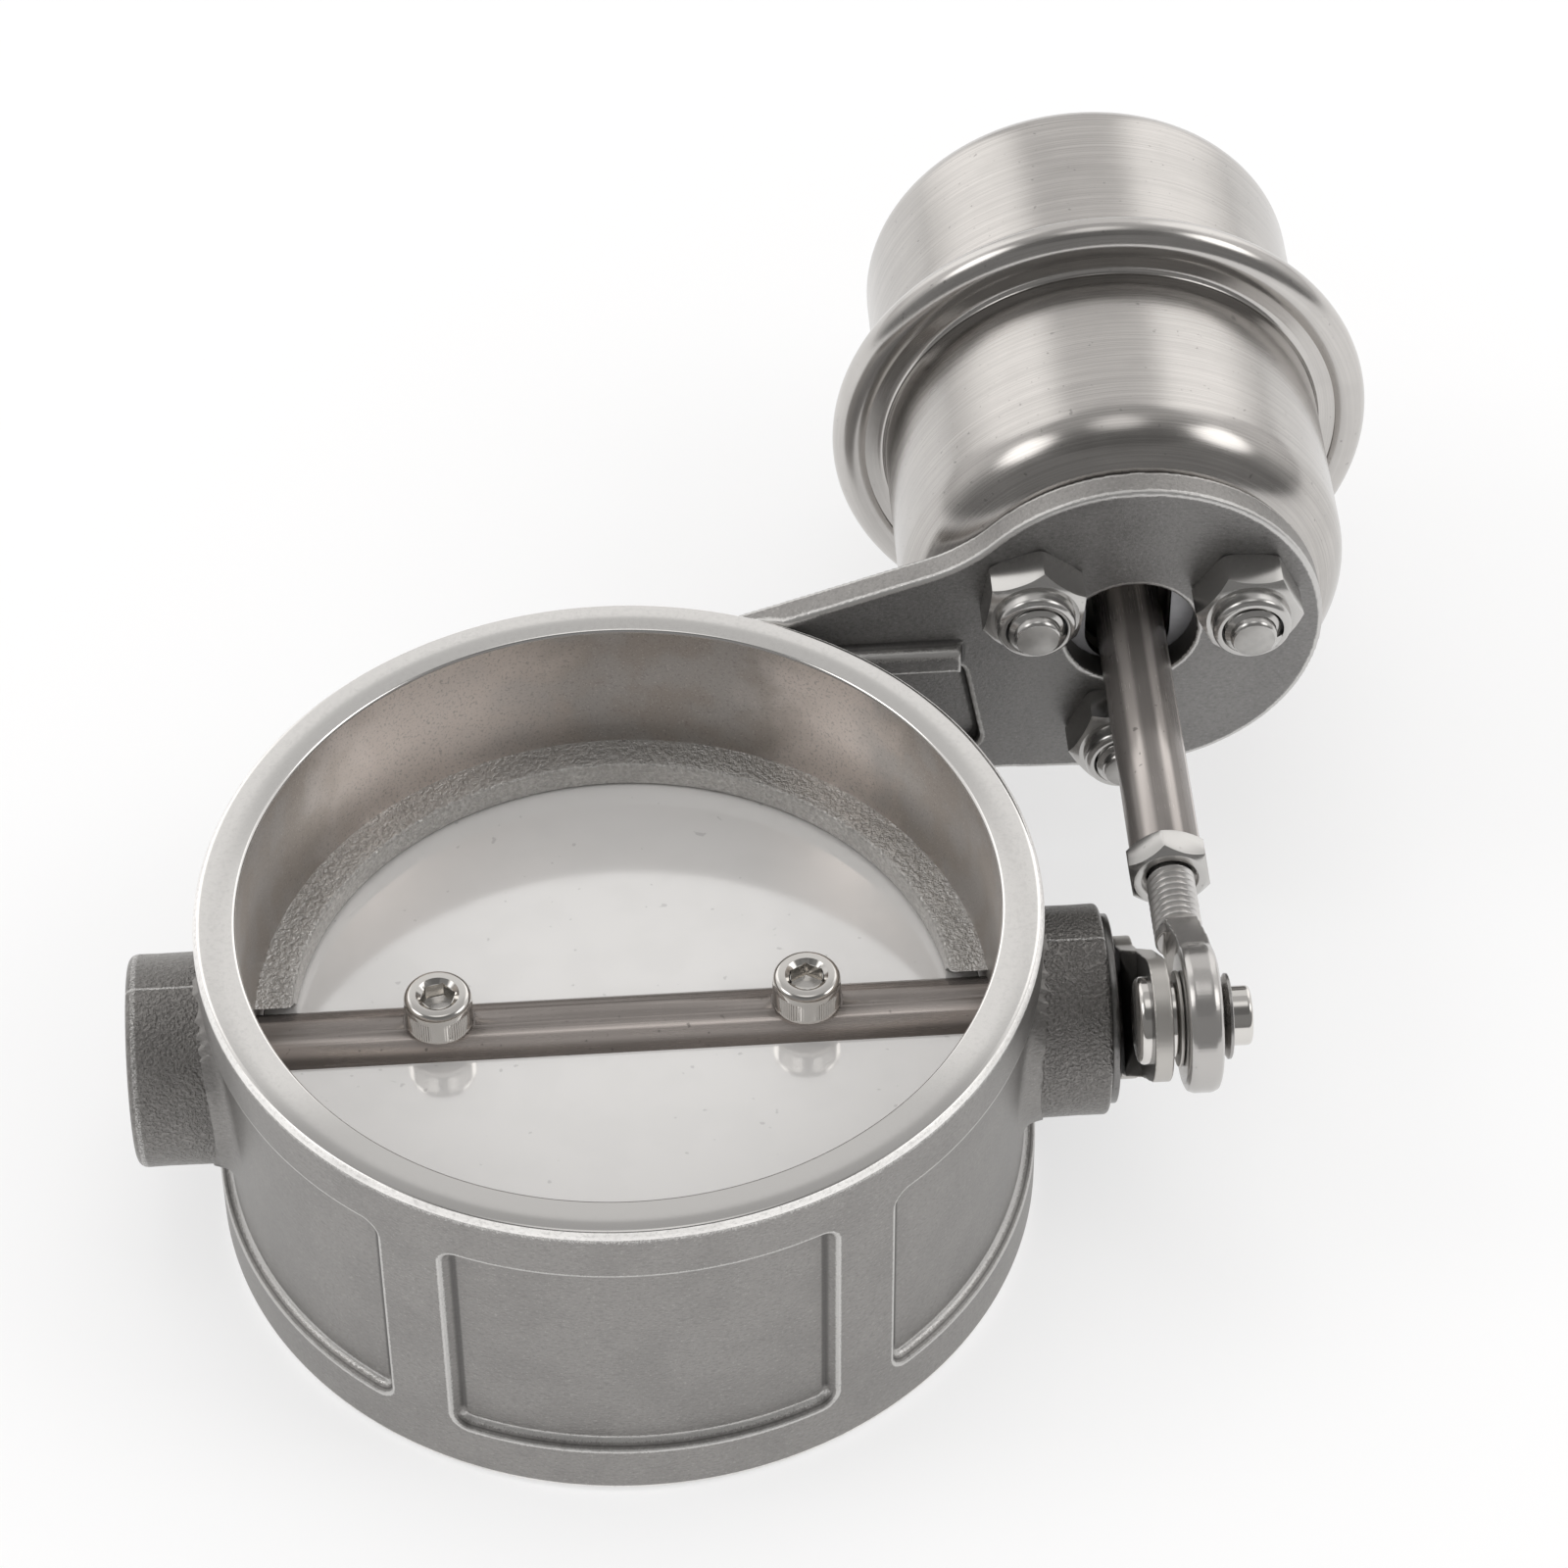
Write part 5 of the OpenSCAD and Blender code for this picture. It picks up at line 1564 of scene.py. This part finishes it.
@dataclass
class Studio:
    """Floor, light and the camera."""

    lens: float = 122.35
    position: Point = (-5.0, -358.3, 436.1)
    azimuth: float = -4.012
    elevation: float = 46.414
    roll: float = -0.073
    shift: tuple[float, float] = (-0.0226, -0.0110)
    front_level: float = 0.24
    rear_level: float = 0.82
    soft_level: float = 0.92
    patches: tuple[tuple[Point, float, float], ...] = (((-0.68, -0.02, 0.73), 0.955, 2.0),
                                                       ((0.73, -0.06, 0.68), 0.955, 2.0),
                                                       ((0.0, 0.06, 1.0), 0.965, 0.75))
    patch_edge: float = 0.035
    lamps: tuple[tuple[str, Point, Point, tuple[float, float], float], ...] = (
        ("overhead", (0.05, 0.1, 0.95), (0.02, 0.03, 0.02), (0.5, 0.35), 0.8),
        ("left_panel", (-0.7, 0.0, 0.75), (0.0, 0.0, 0.02), (0.3, 0.4), 1.0),
        ("right_panel", (0.65, -0.2, 0.75), (0.02, 0.0, 0.02), (0.3, 0.4), 1.0))

    def floor(self) -> None:
        """Lays a wide pale floor that keeps the shadow."""
        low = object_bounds()[0]
        Bench.clear()
        bpy.ops.mesh.primitive_plane_add(size=6.0, location=(0, 0, low[2] - 0.0002))
        obj = bpy.context.object
        obj.name = "studio_floor"
        g = Skin("pale_floor")
        g.give(Base_Color=tone(0.9, 0.9, 0.905), Roughness=0.9, Metallic=0.0)
        path = g.node("ShaderNodeLightPath")
        glow = g.node("ShaderNodeEmission", {}, {"Color": tone(1.0, 1.0, 1.0), "Strength": 1.0})
        seen = Val(g, path.outputs["Is Camera Ray"]) + Val(g, path.outputs["Is Glossy Ray"])
        share = (seen + Val(g, path.outputs["Is Transmission Ray"])).least(1.0) * 0.55
        both = g.node("ShaderNodeMixShader", {}, {0: share, 1: g.shader.outputs[0], 2: glow.outputs[0]})
        g.feed(g.output.inputs["Surface"], both.outputs[0])
        obj.data.materials.append(g.material)
        obj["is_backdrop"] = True

    def sky(self) -> None:
        """Sets the surroundings: white to the camera, bright at the rear and dim in front to the metal."""
        world = bpy.data.worlds.new("studio")
        bpy.context.scene.world = world
        world.use_nodes = True
        g = Graph(world.node_tree)
        coords = g.node("ShaderNodeTexCoord")
        x, y, z = g.split(coords.outputs["Generated"])
        rear = g.band(y, -0.35, 0.4, self.front_level, self.rear_level)
        low = g.band(z, -0.05, 0.3, 0.75, 1.0)
        high = g.band(z, 0.752, 0.778, 1.0, 0.64)
        side = abs(x)
        wings = g.band(side, 0.22, 0.42, 0.0, 0.6) * g.band(side, 0.62, 0.74, 1.0, 0.0)
        wings = wings * g.band(y, 0.42, 0.58)
        level = rear * low * high + wings
        for towards, reach, power in self.patches:
            near = x * towards[0] + y * towards[1] + z * towards[2]
            level = level + g.band(near, reach, reach + self.patch_edge, 0.0, power)
        path = g.node("ShaderNodeLightPath")
        soft = Val(g, path.outputs["Is Diffuse Ray"])
        level = level * (1.0 - soft) + soft * self.soft_level
        inside = g.node("ShaderNodeBackground", {}, {"Color": tone(1.0, 0.99, 0.98), "Strength": level})
        seen = g.node("ShaderNodeBackground", {}, {"Color": tone(1.0, 1.0, 1.0), "Strength": 1.0})
        mix = g.node("ShaderNodeMixShader", {},
                     {0: path.outputs["Is Camera Ray"], 1: inside.outputs[0], 2: seen.outputs[0]})
        g.node("ShaderNodeOutputWorld", {}, {"Surface": mix.outputs[0]})

    def lamp(self, name: str, place: Point, aim: Point, size: tuple[float, float], power: float) -> None:
        """Hangs one soft rectangular lamp.

        Args:
            name: Name of the lamp.
            place: Its middle in metres.
            aim: Point that it faces.
            size: Its width and height in metres.
            power: Its power in watts.
        """
        data = bpy.data.lights.new(name, "AREA")
        data.shape = "RECTANGLE"
        data.size, data.size_y = size
        data.energy = power
        obj = bpy.data.objects.new(name, data)
        bpy.context.scene.collection.objects.link(obj)
        obj.location = place
        obj.visible_glossy = False
        obj.rotation_euler = (Vector(aim) - Vector(place)).to_track_quat("-Z", "Y").to_euler()

    def camera(self) -> None:
        """Sets the camera at the photograph's angle."""
        data = bpy.data.cameras.new("camera")
        data.sensor_width = 36.0
        data.lens = self.lens
        data.shift_x, data.shift_y = self.shift
        data.clip_start, data.clip_end = 0.01, 20.0
        obj = bpy.data.objects.new("camera", data)
        bpy.context.scene.collection.objects.link(obj)
        a, e = math.radians(self.azimuth), math.radians(self.elevation)
        back = Vector((math.sin(a) * math.cos(e), -math.cos(a) * math.cos(e), math.sin(e)))
        right = Vector((math.cos(a), math.sin(a), 0.0))
        up = back.cross(right)
        roll = Matrix.Rotation(math.radians(self.roll), 4, "Z")
        turn = Matrix((right, up, back)).transposed().to_4x4() @ roll
        obj.matrix_world = Matrix.Translation(Vector(self.position) * MM) @ turn
        bpy.context.scene.camera = obj

    def build(self) -> None:
        """Builds floor, surroundings, lamps and camera."""
        self.floor()
        self.sky()
        for lamp in self.lamps:
            self.lamp(*lamp)
        self.camera()
        bpy.context.scene.view_settings.view_transform = "Standard"


def main() -> None:
    """Builds the valve's pieces in order, then the studio."""
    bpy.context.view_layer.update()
    for part in (Duct(), Flap(), Linkage(), Mounting(), Canister()):
        part.build()
        log.info("%s done", type(part).__name__)
    Studio().build()
    Bench.clear()
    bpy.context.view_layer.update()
    log.info("%d pieces", Piece.count)


if __name__ == "__main__":
    main()
